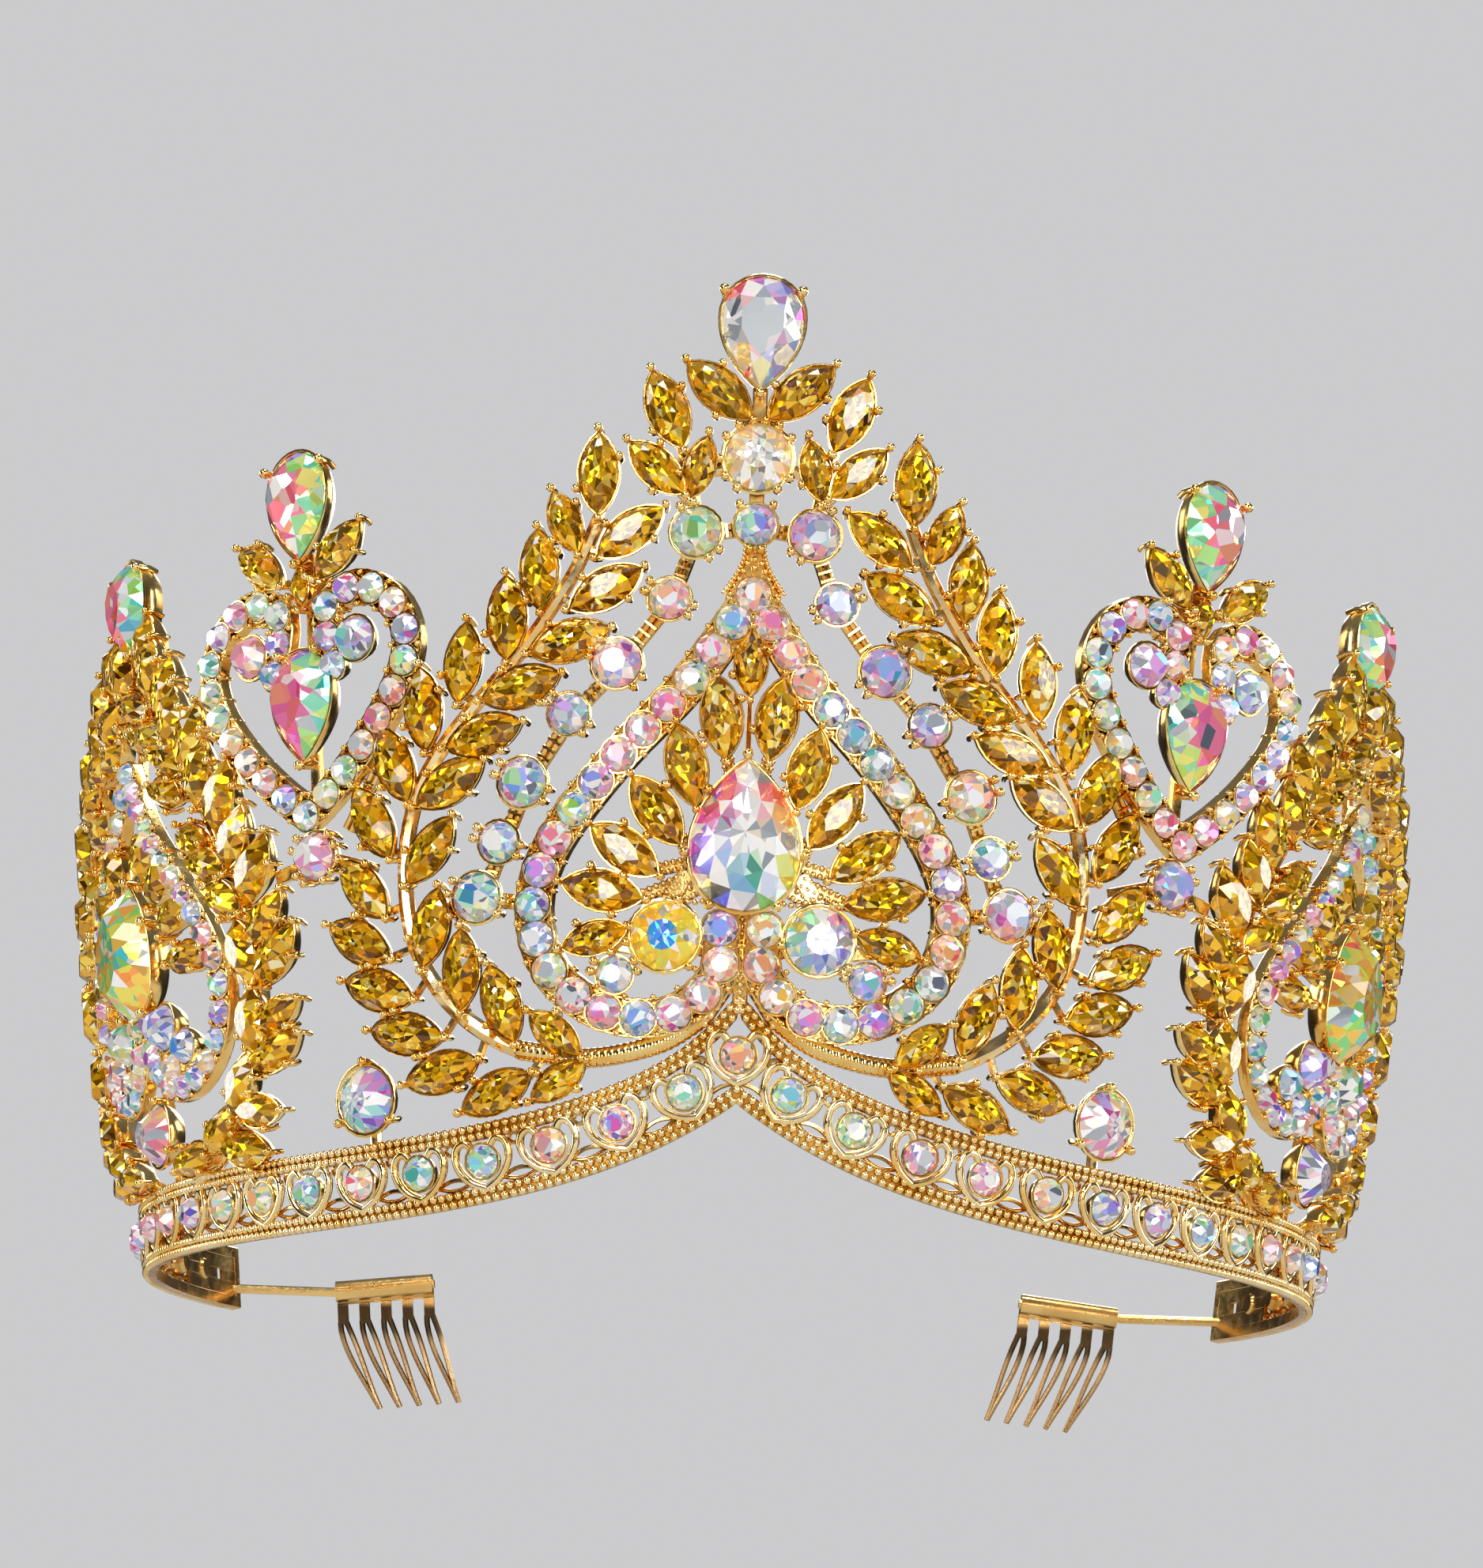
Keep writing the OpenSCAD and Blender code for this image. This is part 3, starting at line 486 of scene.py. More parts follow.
# Clear glass: painted reflections only, pale and dark greys from bit to bit
CLEAR_PAINTED_REFLECTIONS = [
    (0.0, (0.96, 0.97, 1.0)), (0.2, (0.40, 0.44, 0.50)), (0.34, (0.98, 0.96, 0.93)),
    (0.54, (0.60, 0.64, 0.68)), (0.70, (0.13, 0.15, 0.20)), (0.77, (0.85, 0.86, 0.90))]
RAINBOW = [
    (0.0, (1.0, 0.70, 0.04)), (0.14, (1.0, 0.30, 0.02)), (0.25, (1.0, 0.06, 0.13)),
    (0.40, (0.85, 0.04, 0.46)), (0.53, (0.22, 0.09, 0.90)), (0.66, (0.04, 0.28, 0.90)),
    (0.79, (0.03, 0.66, 0.52)), (0.90, (0.34, 0.80, 0.10)), (0.96, (0.90, 0.78, 0.06))]


def topaz_tone_and_reflections(paint, glint, bits):
    """Amber and golden yellow, with painted reflections of the cuts: dark brown bits and a few pale yellow
    glints.
    """
    base = paint.ramp((glint + bits[0] * 0.7).wrapped(), TOPAZ_TONES_AND_REFLECTIONS, steps=True)
    return paint.mix(paint.note("mood") * 0.22, base, (0.62, 0.42, 0.01))


def coated(table, rim, around, bit, shift=0.0, spread=1.0, cover=0.42, inner=None):
    """A colour for clear stones with a rainbow coat over painted reflections in pale and dark greys. The
    hue changes by around from one end of the outline to the other, or else only on the slopes of the inner
    half, and by shift on the table."""
    def colour_and_reflections_of(paint, glint, bits):
        # Painted reflections in pale and dark greys, facet by facet
        painted_reflections = paint.ramp((glint + bits[1] * bit).wrapped(), CLEAR_PAINTED_REFLECTIONS, steps=True)
        edge = paint.note("rim")
        turned = paint.note("wedge")
        if inner:
            half = turned.between(0.44, 0.56)
            turned = (half if inner == LEFT else 1 - half) * edge.between(0.55, 0.65)
        hue = paint.note("mood") + (bits[2] * 0.3 + glint * 0.14) * spread + turned * around
        hue = (hue + (1 - edge.between(0.32, 0.44)) * shift).wrapped()
        share = (bits[0] * bit + glint * (1 - bit)).between(cover, cover + 0.1) * (edge * rim + table)
        return paint.mix(share.kept(), painted_reflections, paint.ramp(hue, RAINBOW))
    return colour_and_reflections_of


# Gilt finishes: roughness, grain, then pale and rich gold and the colour of the painted shade in the
# recesses
polished = gilt("gilt_polished_wire", 0.10, 0.10)
bright = gilt("gilt_bright_hearts", 0.09, 0.08, (1.0, 0.82, 0.46), (0.94, 0.64, 0.22))
stem_gilt = gilt("gilt_pale_stems", 0.12, 0.08, (1.0, 0.84, 0.50), (0.96, 0.66, 0.26), (0.74, 0.38, 0.08))
cast = gilt("gilt_cast_strips", 0.13, 0.30, rich=(0.92, 0.55, 0.15))
beaded = gilt("gilt_beads", 0.08, 0.10)
cupped = gilt("gilt_cups", 0.12, 0.2)
# Painted shade: a dark gold floor behind the band's beads, so the gaps between them look dark
shaded = gilt("gilt_floor_between_beads", 0.25, 0.5, (0.74, 0.42, 0.09), (0.36, 0.15, 0.01))
comb_gilt = worn_and_shadowed_comb()
topaz = cut_glass("topaz_cut_glass", topaz_tone_and_reflections, 1.7, 0.2, metal=0.65, glow=0.11)

# Clear stones: their colour with painted reflections, the size of a bit in millimetres, its slant,
# roughness, metal and painted glow
CLEAR_STONES = {
    "small_stones": (coated(0.80, -0.30, 0.25, 0.6, 0.08, 0.8), 1.8, 0.2, 0.05, 0.35, 0.07),
    "medium_stones": (coated(0.66, -0.16, 0.35, 0.5, 0.12, cover=0.36), 2.0, 0.2, 0.05, 0.35, 0.08),
    "large_stones": (coated(0.30, 0.45, 0.5, 0.3), 4.6, 0.14, 0.04, 0.4, 0.06),
    "crest_stones": (coated(0.22, 0.45, 0.6, 0.3), 4.2),
    "crest_round": (coated(0.26, 0.42, 0.0, 0.3, 0.0, 0.7), 3.0),
    "centre_pear": (coated(0.32, 0.60, -1.0, 0.3), 6.5, 0.14, 0.04, 0.4, 0.06),
    "yellow_round": (coated(0.97, 0.0, 0.04, 0.2, 0.66, 0.28, 0.14), 2.4, 0.16, 0.04, 0.4, 0.08),
    "side_pears": (coated(0.92, 0.0, 0.1, 0.3, 0.0, 1.0, 0.2), 2.6, 0.15, 0.04, 0.5, 0.08)}
for one_side in SIDES:
    two_hues = coated(0.80, 0.0, 0.60, 0.5, 0.0, 0.65, 0.20, one_side)
    CLEAR_STONES["two_hues" + END_OF[one_side]] = (two_hues, 2.4, 0.15, 0.04, 0.45)
crystals = {name: cut_glass("crystal_" + name, *values) for name, values in CLEAR_STONES.items()}
CRYSTAL_OF = {
    "panel_round_left": "yellow_round", "centre_pear": "centre_pear", "crest_pear": "crest_stones",
    "crest_stones": "crest_round", "side_pears": "side_pears", "string_stones": "medium_stones",
    "heart_stones": "medium_stones", "panel_stones": "medium_stones",
    "heart_pears_left": "two_hues_left", "heart_pears_right": "two_hues_right",
    "side_top_pear_left": "two_hues_left", "side_top_pear_right": "two_hues_right"}


# Pieces, and the angles in degrees from which their edges are sharp
SHARP_METAL, SHARP_CUP, SHARP_BEAD = 35, 40, 60


def put(name, data):
    obj = bpy.data.objects.new(name, data)
    bpy.context.scene.collection.objects.link(obj)
    return obj


def settle(obj, sharp):
    """The finished piece: smooth where it is round, riding on the crown's body."""
    if sharp:
        obj.data.shade_smooth()
        obj.data.set_sharp_from_angle(angle=math.radians(sharp))
    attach(obj, "root")
    return obj


def piece(name, shape, material):
    obj = put(name, shape.mesh(name, MM))
    obj.data.materials.append(material)
    return settle(obj, SHARP_METAL)


def write_note(mesh, name, kind, domain, values):
    """Stores a value for every point or face of a mesh under a name."""
    note = mesh.attributes.new(name, kind, domain)
    note.data.foreach_set("value" if kind == "FLOAT" else "vector", np.array(values, float).ravel())


class Tree(Graph):
    """A geometry node tree under way, with the inputs of every such tree here and its own."""

    def __init__(self, name, **own):
        super().__init__(bpy.data.node_groups.new(name, "GeometryNodeTree"))
        sockets = self.tree.interface
        sockets.new_socket("Geometry", in_out="OUTPUT", socket_type="NodeSocketGeometry")
        self.ids = {}
        for key, kind in {"Geometry": "Geometry", "Thing": "Object", "Finish": "Material", **own}.items():
            made = sockets.new_socket(key, in_out="INPUT", socket_type="NodeSocket" + kind)
            self.ids[key] = made.identifier
        outputs = self.tree.nodes.new("NodeGroupInput").outputs
        self.given = {key: Level(self, outputs[key]) for key in self.ids}

    def named(self, name):
        return self.node("GeometryNodeInputNamedAttribute", {"data_type": "FLOAT_VECTOR"}, {"Name": name})

    def copies(self, points, sockets):
        """A copy of the thing at each point, made real and given its finish."""
        source = self.node("GeometryNodeObjectInfo", {}, {"Object": self.given["Thing"]}, out=4)
        sockets = {"Points": points, "Instance": source, **sockets}
        placed = self.node("GeometryNodeInstanceOnPoints", {}, sockets)
        sockets = {"Geometry": self.node("GeometryNodeRealizeInstances", {}, {0: placed}),
                   "Material": self.given["Finish"]}
        return self.node("GeometryNodeSetMaterial", {}, sockets)

    def stored(self, geometry, name, kind, limits, out):
        """A random value for every face, kept under a name."""
        value = self.node("FunctionNodeRandomValue", {"data_type": kind},
                          {**limits, "Seed": self.given["Seed"]}, out=out)
        return self.node("GeometryNodeStoreNamedAttribute", {"data_type": kind, "domain": "FACE"},
                         {"Geometry": geometry, "Name": name, "Value": value})

    def close(self, geometry):
        self.node("NodeGroupOutput", {}, {0: geometry})
        return self


def setting_tree():
    """Sets one thing at every place, each with its own turn and size, and marks the facets."""
    tree = Tree("set_at_places", Seed="Int")
    turn = tree.node("FunctionNodeEulerToRotation", {}, {0: tree.named("turn")})
    real = tree.copies(tree.given["Geometry"], {"Rotation": turn, "Scale": tree.named("size")})
    marked = tree.stored(real, "glint", "FLOAT", {}, 1)
    return tree.close(tree.stored(marked, "slant", "FLOAT_VECTOR", {0: (-1, -1, -1), 1: (1, 1, 1)}, 0))


def bead_tree():
    """Beads in a row along each path, at an even pitch."""
    tree = Tree("beads_along_paths", Pitch="Float", Diameter="Float")
    curve = tree.node("GeometryNodeMeshToCurve", {}, {0: tree.given["Geometry"]})
    even = tree.node("GeometryNodeResampleCurve", {"mode": "LENGTH"},
                     {"Curve": curve, "Length": tree.given["Pitch"]})
    return tree.close(tree.copies(even, {"Scale": tree.given["Diameter"]}))


def thing(name, shape):
    """A pattern object that trees copy; it is removed at the end."""
    return put(name, shape.mesh(name))


def grown(base, tree, values, sharp):
    """Runs a tree on a base mesh and keeps the result as a plain piece in metres."""
    name = base.name
    obj = put(name, base)
    modifier = obj.modifiers.new("build", "NODES")
    modifier.node_group = tree.tree
    for key, value in values.items():
        modifier[tree.ids[key]] = value
    graph = bpy.context.evaluated_depsgraph_get()
    made = bpy.data.meshes.new_from_object(
        obj.evaluated_get(graph), preserve_all_data_layers=True, depsgraph=graph)
    made.name = name
    obj.modifiers.clear()
    obj.data = made
    made.transform(Matrix.Scale(MM, 4))
    return settle(obj, sharp)


settings_at_places = setting_tree()
beads_along = bead_tree()


class Places:
    """Places on the wall where copies of one thing are set."""

    def __init__(self):
        self.rows = []

    def add(self, place, turn=0.0, x=0.0, y=0.0, h=0.0, spin=0.0, size=(1, 1, 1), mood=0.0):
        """A copy beside a place. Spin turns it about its own upright axis, in degrees."""
        point = beside(place, turn, x, y, h)
        across, ahead, out = turned_axes(place[0], turn + spin)
        grid = Matrix([[across[k], ahead[k], out[k]] for k in range(3)])
        self.rows.append((point, tuple(grid.to_euler()), size, mood))

    def grow(self, name, pattern, material, sharp=0, slot="gilt"):
        points, turns, sizes, moods = zip(*self.rows)
        base = bpy.data.meshes.new(name)
        base.from_pydata([tuple(p) for p in points], [], [])
        write_note(base, "turn", "FLOAT_VECTOR", "POINT", turns)
        write_note(base, "size", "FLOAT_VECTOR", "POINT", sizes)
        write_note(base, "mood", "FLOAT", "POINT", moods)
        values = {"Thing": pattern, "Finish": material, "Seed": SEED}
        return grown(base, settings_at_places, values, sharp)


def bead_rows(name, rows, pitch, diameter, material):
    """One piece of beads along rows of points in space."""
    points, edges = [], []
    for row in rows:
        first = len(points)
        points += [tuple(p) for p in row]
        edges += [(first + i, first + i + 1) for i in range(len(row) - 1)]
    base = bpy.data.meshes.new(name)
    base.from_pydata(points, edges, [])
    values = {"Thing": bead_thing, "Finish": material, "Pitch": pitch, "Diameter": diameter}
    return grown(base, beads_along, values, SHARP_BEAD)


# Outlines of stones, the tip or the top towards +y
def even_outline(right, count):
    """The closed outline whose right half is given, with points at an even spacing, the first kept."""
    points = right + mirrored(right[-2:0:-1], LEFT)
    loop = np.array(points + [points[0]], float)
    lengths = np.concatenate([[0], np.cumsum(np.linalg.norm(np.diff(loop, axis=0), axis=1))])
    return [at_length(loop, lengths, s) for s in np.linspace(0, lengths[-1], count, endpoint=False)]


def round_outline(count):
    return [(0.5 * math.sin(t), 0.5 * math.cos(t)) for t in angles(count)]


def leaf_outline(width, length, count):
    """Two arcs that meet at a point at both ends."""
    bow = (length ** 2 + width ** 2) / (4 * width)
    right = []
    for k in range(25):
        y = length / 2 * math.cos(math.pi * k / 24)
        right.append((math.sqrt(bow * bow - y * y) - (bow - width / 2), y))
    return even_outline(right, count)


def pear_outline(width, length, count):
    """A round end and a straight-sided pointed one."""
    middle = (width - length) / 2
    right = []
    for k in range(20):
        s = 1 - k / 20
        right.append((width / 2 * (1 - s ** 2.2), middle + s * (length / 2 - middle)))
    for k in range(21):
        t = math.pi / 2 + math.pi / 2 * k / 20
        right.append((width / 2 * math.sin(t), middle + width / 2 * math.cos(t)))
    return even_outline(right, count)


def scaled(outline, k):
    return [(x * k, y * k) for x, y in outline]


def swelled(outline, by):
    """The outline moved outward by a width."""
    loop = np.array(outline)
    ahead = np.roll(loop, -1, axis=0) - np.roll(loop, 1, axis=0)
    ahead /= np.linalg.norm(ahead, axis=1)[:, None]
    return [(p[0] - d[1] * by, p[1] + d[0] * by) for p, d in zip(loop, ahead)]


def lifted(outline, z):
    return [(x, y, z) for x, y in outline]


def brilliant(name, outline, height, girdle, table, split):
    """A cut stone: girdle, kites, stars and a table, which split divides as the cut below shows in it."""
    count = len(outline) // 2
    kite = (1 - table) / 2 + table
    slope = (height - girdle) / (1 - table)
    mid_height = girdle + (1 - kite * math.cos(math.pi / count)) * slope
    points = lifted(scaled(outline, 0.98), 0.0) + lifted(outline, girdle)
    points += lifted(scaled(outline[1::2], kite), mid_height)
    points += lifted(scaled(outline[0::2], table), height)
    inner = [(x * table * 0.5, y * table * 0.5, height) for x, y in outline[1::2]] + [(0.0, 0.0, height)]
    edge = 2 * count
    mid = 2 * edge
    top = mid + count
    core = top + count
    centre = core + count
    faces, rims, wedges = [list(range(edge))[::-1]], [1.0], [0.0]

    def facet(corners, rim, wedge):
        faces.append(corners)
        rims.append(rim)
        wedges.append(wedge % 1.0)

    for k in range(edge):
        facet([k, (k + 1) % edge, edge + (k + 1) % edge, edge + k], 1.0, k / edge)
    for j in range(count):
        before, after = (j - 1) % count, (j + 1) % count
        corner, side = edge + 2 * j, edge + 2 * j + 1
        w = j / count
        facet([corner, mid + j, top + j, mid + before], 0.75, w)
        facet([corner, side, mid + j], 1.0, w)
        facet([side, edge + 2 * after, mid + j], 1.0, w + 0.5 / count)
        facet([top + j, mid + j, top + after], 0.45, w)
        if split:
            facet([top + j, top + after, core + j], 0.3, w)
            facet([top + j, core + j, core + before], 0.15, w)
            facet([core + before, core + j, centre], 0.0, w)
    if not split:
        facet([top + j for j in range(count)], 0.1, 0.35)
    shape = Shape()
    shape.add(points + inner if split else points, faces)
    obj = thing(name, shape)
    write_note(obj.data, "rim", "FLOAT", "FACE", rims)
    write_note(obj.data, "wedge", "FLOAT", "FACE", wedges)
    return obj


def cup(name, outline, rim, deep, lip, back=0.66):
    """A thin-walled cup with a smooth rim round a stone's girdle; z is 0 at the stone's foot."""
    levels = [
        (scaled(outline, back), -deep), (scaled(outline, 0.93), -deep * 0.55),
        (swelled(outline, rim * 0.7), -0.25), (swelled(outline, rim), lip - 0.1),
        (swelled(outline, rim * 0.75), lip), (swelled(outline, rim * 0.3), lip),
        (swelled(outline, 0.02), lip - 0.12), (swelled(outline, 0.02), -0.1)]
    shape = Shape()
    shape.skin([lifted(loop, z) for loop, z in levels])
    return thing(name, shape)


def wired(name, tubes=(), balls=()):
    """A pattern of wires and balls."""
    shape = Shape()
    for tube in tubes:
        shape.tube(*tube)
    for ball in balls:
        shape.ball(*ball)
    return thing(name, shape)


def ring_pattern():
    """A small ring of wire between two hearts."""
    reach, wire = 0.62, 0.25
    section = [(reach + wire * math.cos(a), wire * math.sin(a)) for a in angles(6)]
    rows = [[(r * math.cos(t), r * math.sin(t), z) for r, z in section] for t in angles(12)]
    shape = Shape()
    shape.skin(rows, closed=True)
    return thing("ring_pattern", shape)


# Stone sizes in millimetres
LEAF_W, LEAF_L = 4.9, 10.3
LEAF_RISE = 0.52 * LEAF_W
LARGE_PEAR = (13.0, 18.0)
SMALL_PEAR = (10.0, 14.0)
LARGE_ROUND = 8.0
OUTLINE_ROUND = 4.2
BAND_ROUND = 4.1
CUP_ROUND = 5

bead_thing = wired("bead_pattern", balls=[((0, 0, 0), 0.5)])
# A short claw that ends in a ball; +y is away from the stone and z 0 its foot
CLAW_WIRE = [(0, 0.1, -1.9), (0, 0.55, -0.9), (0, 0.68, 0.35), (0, 0.62, 0.75)]
prong = wired("prong_pattern", [(CLAW_WIRE, [0.34, 0.36, 0.36, 0.34], 6)], [((0, 0.6, 0.85), 0.6)])
# A heart of polished wire, point down, whose upper ends curl in to the stone
HEART_WIRE = [(0, -3.25), (1.75, -2.35), (3.1, -0.75), (3.5, 0.9), (3.05, 2.15), (2.0, 2.55), (1.3, 1.85)]
heart_halves = [[(x, y, 0.15) for x, y in mirrored(smooth(HEART_WIRE, 4), hand)] for hand in SIDES]
heart_link = wired("heart_pattern", [(half, 0.5) for half in heart_halves], [((0, -3.2, 0.1), 0.5)])
# A slotted leaf shape that fills the corner between two hearts
lens_halves = [[(x, hand * 0.62 * math.cos(math.pi * x / 4.6), 0) for x in np.linspace(-2.3, 2.3, 9)]
               for hand in SIDES]
lens_link = wired("lens_pattern", [(half, 0.27, 6) for half in lens_halves])
# Cut stones: height, girdle, share of the table and whether it is divided; cups: rim, depth and lip
leaf_cut = brilliant("leaf_pattern", leaf_outline(LEAF_W, LEAF_L, 16), LEAF_RISE, 0.35, 0.52, True)
leaf_cup = cup("leaf_cup_pattern", leaf_outline(LEAF_W, LEAF_L, 20), 0.32, 2.0, 0.4)
small_cut = brilliant("small_round_pattern", round_outline(16), 0.42, 0.09, 0.52, False)
large_cut = brilliant("large_round_pattern", round_outline(24), 0.36, 0.05, 0.46, True)
round_cup = cup("round_cup_pattern", scaled(round_outline(20), CUP_ROUND), 0.38, 2.4, 0.42)
small_pear_cut = brilliant("small_pear_pattern", pear_outline(*SMALL_PEAR, 18), 3.5, 0.6, 0.54, False)
large_pear_cut = brilliant("large_pear_pattern", pear_outline(*LARGE_PEAR, 24), 4.6, 0.7, 0.58, True)
small_pear_cup = cup("small_pear_cup_pattern", pear_outline(*SMALL_PEAR, 32), 0.45, 2.5, 0.75, 0.75)
large_pear_cup = cup("large_pear_cup_pattern", pear_outline(*LARGE_PEAR, 36), 0.5, 2.5, 0.8, 0.78)

# Rows of leaf stones on the right half: run and height of the middle, lean of the tip and size
LAUREL = [
    (16.3, 90.0, 0, 1.00), (19.8, 84.2, 22, 0.80), (12.9, 82.7, -54, 0.96), (22.6, 78.6, 2, 0.96),
    (15.4, 75.9, -62, 0.98), (26.2, 73.0, 0, 1.00), (19.2, 69.7, -75, 1.00), (31.3, 68.0, -8, 0.96),
    (24.6, 64.4, -75, 1.00), (36.2, 62.8, 3, 1.00), (28.9, 58.9, -76, 1.00), (40.0, 56.4, 22, 1.00),
    (33.0, 53.4, -62, 1.00), (43.0, 49.6, 29, 1.00), (35.6, 45.5, -40, 0.96), (44.4, 41.6, 42, 0.96),
    (35.6, 36.2, -14, 0.94), (45.1, 35.2, 62, 1.00), (31.8, 31.0, 0, 0.94), (42.6, 29.2, 74, 1.00),
    (26.9, 26.7, 20, 0.94), (38.9, 23.7, 82, 1.00), (34.4, 18.9, 104, 0.98), (27.6, 16.3, 116, 0.94),
    (20.6, 23.0, 50, 0.78), (20.2, 17.5, 124, 0.76)]
CENTRE_LEAVES = [
    (2.9, 60.4, 8, 0.98), (6.5, 54.6, 14, 0.98), (9.6, 49.2, 36, 0.98),
    (13.0, 44.6, 54, 0.98), (15.4, 39.8, 78, 0.98), (16.2, 34.2, 106, 0.80)]
CENTRE_TOP_LEAF = (0, 66.9, 0, 0.78)
CREST_LEAVES = [
    (4.1, 100.0, 48, 1.00), (9.3, 97.6, 22, 1.00), (10.3, 90.5, 46, 0.90), (5.9, 90.6, -14, 0.76)]
HEART_LEAVES = [(46.9, 84.4, -50, 0.92), (58.2, 84.4, 50, 0.92), (52.4, 80.6, 0, 0.50)]
SIDE_CENTRE_LEAVES = [
    (4.6, 51.6, 14, 0.80), (8.6, 47.2, 36, 0.80), (11.8, 42.4, 56, 0.80), (13.4, 36.6, 82, 0.80)]
# Leaves along the side stem: length down the stem, hand, angle to the stem, size and height of the foot
SIDE_LEAVES = [(6, 1, 50, 0.90, STONE_FOOT), (16, 1, 48, 0.94, STONE_FOOT)]
SIDE_LEAVES += [(along, 1, 48, 0.96, STONE_FOOT) for along in (26, 36, 46)]
SIDE_LEAVES += [(56, 1, 46, 0.96, STONE_FOOT), (66, 1, 46, 0.96, STONE_FOOT), (77, 1, 50, 0.94, STONE_FOOT)]
SIDE_LEAVES += [(along, 1, 46, 0.84, OVER_STEM) for along in (11, 21, 31, 41, 51, 61, 71)]
SIDE_LEAVES += [(17, -1, 34, 0.84, STONE_FOOT), (28, -1, 34, 0.84, STONE_FOOT)]
SIDE_LEAVES += [(39, -1, 30, 0.80, STONE_FOOT)]
# Leaves over the side stem, from the middle of the side panel: run, height, lean and size
SIDE_OVER_LEAVES = [
    (-0.4, 77.5, 0, 0.90), (-3.6, 71.6, 58, 0.84), (-8.2, 66.4, 66, 0.84), (-12.6, 62.4, 66, 0.84),
    (-19.6, 47.2, 66, 0.84), (-21.9, 42.6, 58, 0.84), (-24.7, 35.6, 18, 0.86), (-25.3, 27.0, 2, 0.86),
    (-22.6, 19.4, -22, 0.84), (-18.2, 14.4, -52, 0.84), (-10.8, 11.4, -76, 0.84)]

# Roots of the leaves inside a panel: share of a leaf's run, a level and share of its height above that
PANEL_ROOTS = (0.18, 44, 0.25)
SIDE_ROOTS = (0.2, 38, 0.3)

# Stems and outlines of the right half, as run and height
LAUREL_STEM = [
    (16.5, 85), (18.9, 79), (21.9, 73.8), (25.2, 69), (28.9, 64.8), (33, 60.2), (36.4, 55.6),
    (38.6, 50.8), (39.6, 45.5), (39.6, 39.5), (38.5, 34.2), (35.7, 29), (31.3, 24.6),
    (25, 21.2), (17, 20.2), (9, 21.9), (4.2, 25)]
SIDE_STEM = [
    (1, 78), (7.4, 69.5), (14.4, 59), (20.6, 48.5), (24.2, 38),
    (24.6, 27.5), (20.5, 17.5), (14, 11.5), (7, 9)]
OUTLINE_KNOTS = [
    (0, 75.2), (6.4, 64.6), (14, 55.6), (20.9, 45.8), (23.3, 37.9), (21.1, 30.1),
    (14.7, 25.4), (7.4, 25.3), (2.6, 29.8), (2.4, 35.4)]
HEART_KNOTS = [
    (0, 51.6), (4.2, 55.2), (8.6, 60.2), (12.6, 66.4), (14, 72),
    (12, 77), (7.5, 79.4), (3.2, 77.2), (4.2, 69.9)]
# The two halves of an outline meet at a stone that the right one sets
SKIPS = {LEFT: 1, RIGHT: 0}
OUTLINE_COUNT = 21
NECK_TOP = 81
TWIN_WIDTH = 1.9

# Larger stones of the right half: run, height and, for rounds, diameter
PANEL_ROUND = (8.4, 34.4)
CURL_ROUND = (13.9, 29.9, 4.4)
CENTRE_PEAR_AT = (0, 46.4)
CREST_PEAR_AT = (0, 107.1)
CREST_ROUND_AT = (0, 91.8)
STRING_CENTRE = (0, 83.6, 5)
STRING = [
    (6.1, 82.6, 6), (8.7, 74.5, 5), (14.1, 66.8, 6), (19.3, 60.9, 5),
    (24.4, 52.9, 6), (27.2, 45.9, 5), (29.8, 39.4, 6)]
HEART_RUN = 52.2
HEART_PEAR_AT = (HEART_RUN, 65.4)
HEART_TOP_PEAR_AT = (HEART_RUN, 91)
HEART_EYE = (7.4, 72.8, 5.5)
HEART_FOOT = (HEART_RUN - 1.1, 46.4, 6)
SIDE_RUN = 86
SIDE_SCALE = 0.85
SIDE_DROP = -0.4
SIDE_PEAR_AT = (SIDE_RUN, 39.2)
SIDE_TOP_PEAR_AT = (SIDE_RUN, 86.4)
SIDE_ROUND = (6.5, 28.6, 6)
SIDE_SMALL_ROUNDS = [(-11.2, 25.6, 4.4), (-7.4, 23.4, 3.6), (-2.6, 25.2, 3.6)]
SIDE_FOOT = (SIDE_RUN, 15.6)
FOOT_AT = (44.8, 16.2)

# Claws: at a leaf's sides as shares of its width and length, round a pear as places among so many
# points of its outline, and the degrees from the middle of a pair to each
CLAW_ACROSS, CLAW_ALONG, CLAW_SPIN = 0.43, 0.17, 75
CLAW_MARKS = 72
PAIR_HALF = 13
SMALL_PEAR_CLAWS = (0, 26, 46)

# Flat bars on the right half: their ends, width and top
PANEL_BARS = [
    ([CURL_ROUND, (14.2, 26.5)], 1.8, 0.9), ([(5.6, 33.6), (2.6, 32.6)], 2.0, 0.9),
    ([(8.6, 38), (6.2, 42)], 2.0, 0.9), ([(11.4, 33), (15, 33.6)], 1.6, 0.7)]
# Round stems of the crest on the right half: their path, width and height
CREST_STEMS = [
    ([(0, 91.5), (7.5, 90)], 1.6, 1.3), ([(6.9, 88.2), (7.6, 91), (8.0, 94.2)], 1.5, 1.3),
    ([(6.7, 86.4), (8.6, 88.6)], 1.3, 1.2), ([(1.6, 97.8), (0.6, 95.5)], 1.5, 1.3)]

# Band: it rises to a peak at the front
BAND_HEIGHT = 9.4
BAND_MIDDLE = BAND_HEIGHT / 2
PEAK_RISE = 15.4
PEAK_FALL = 20
PEAK_POINT, POINT_FALL = 3.2, 4
BAND_END = math.radians(112) * BAND_RADIUS
HEART_PITCH = 8.6
FIRST_HEART = 7.3
LAST_GAP = 4
RAIL_WIDTH = 1.9
RAIL_FACE = 0.36

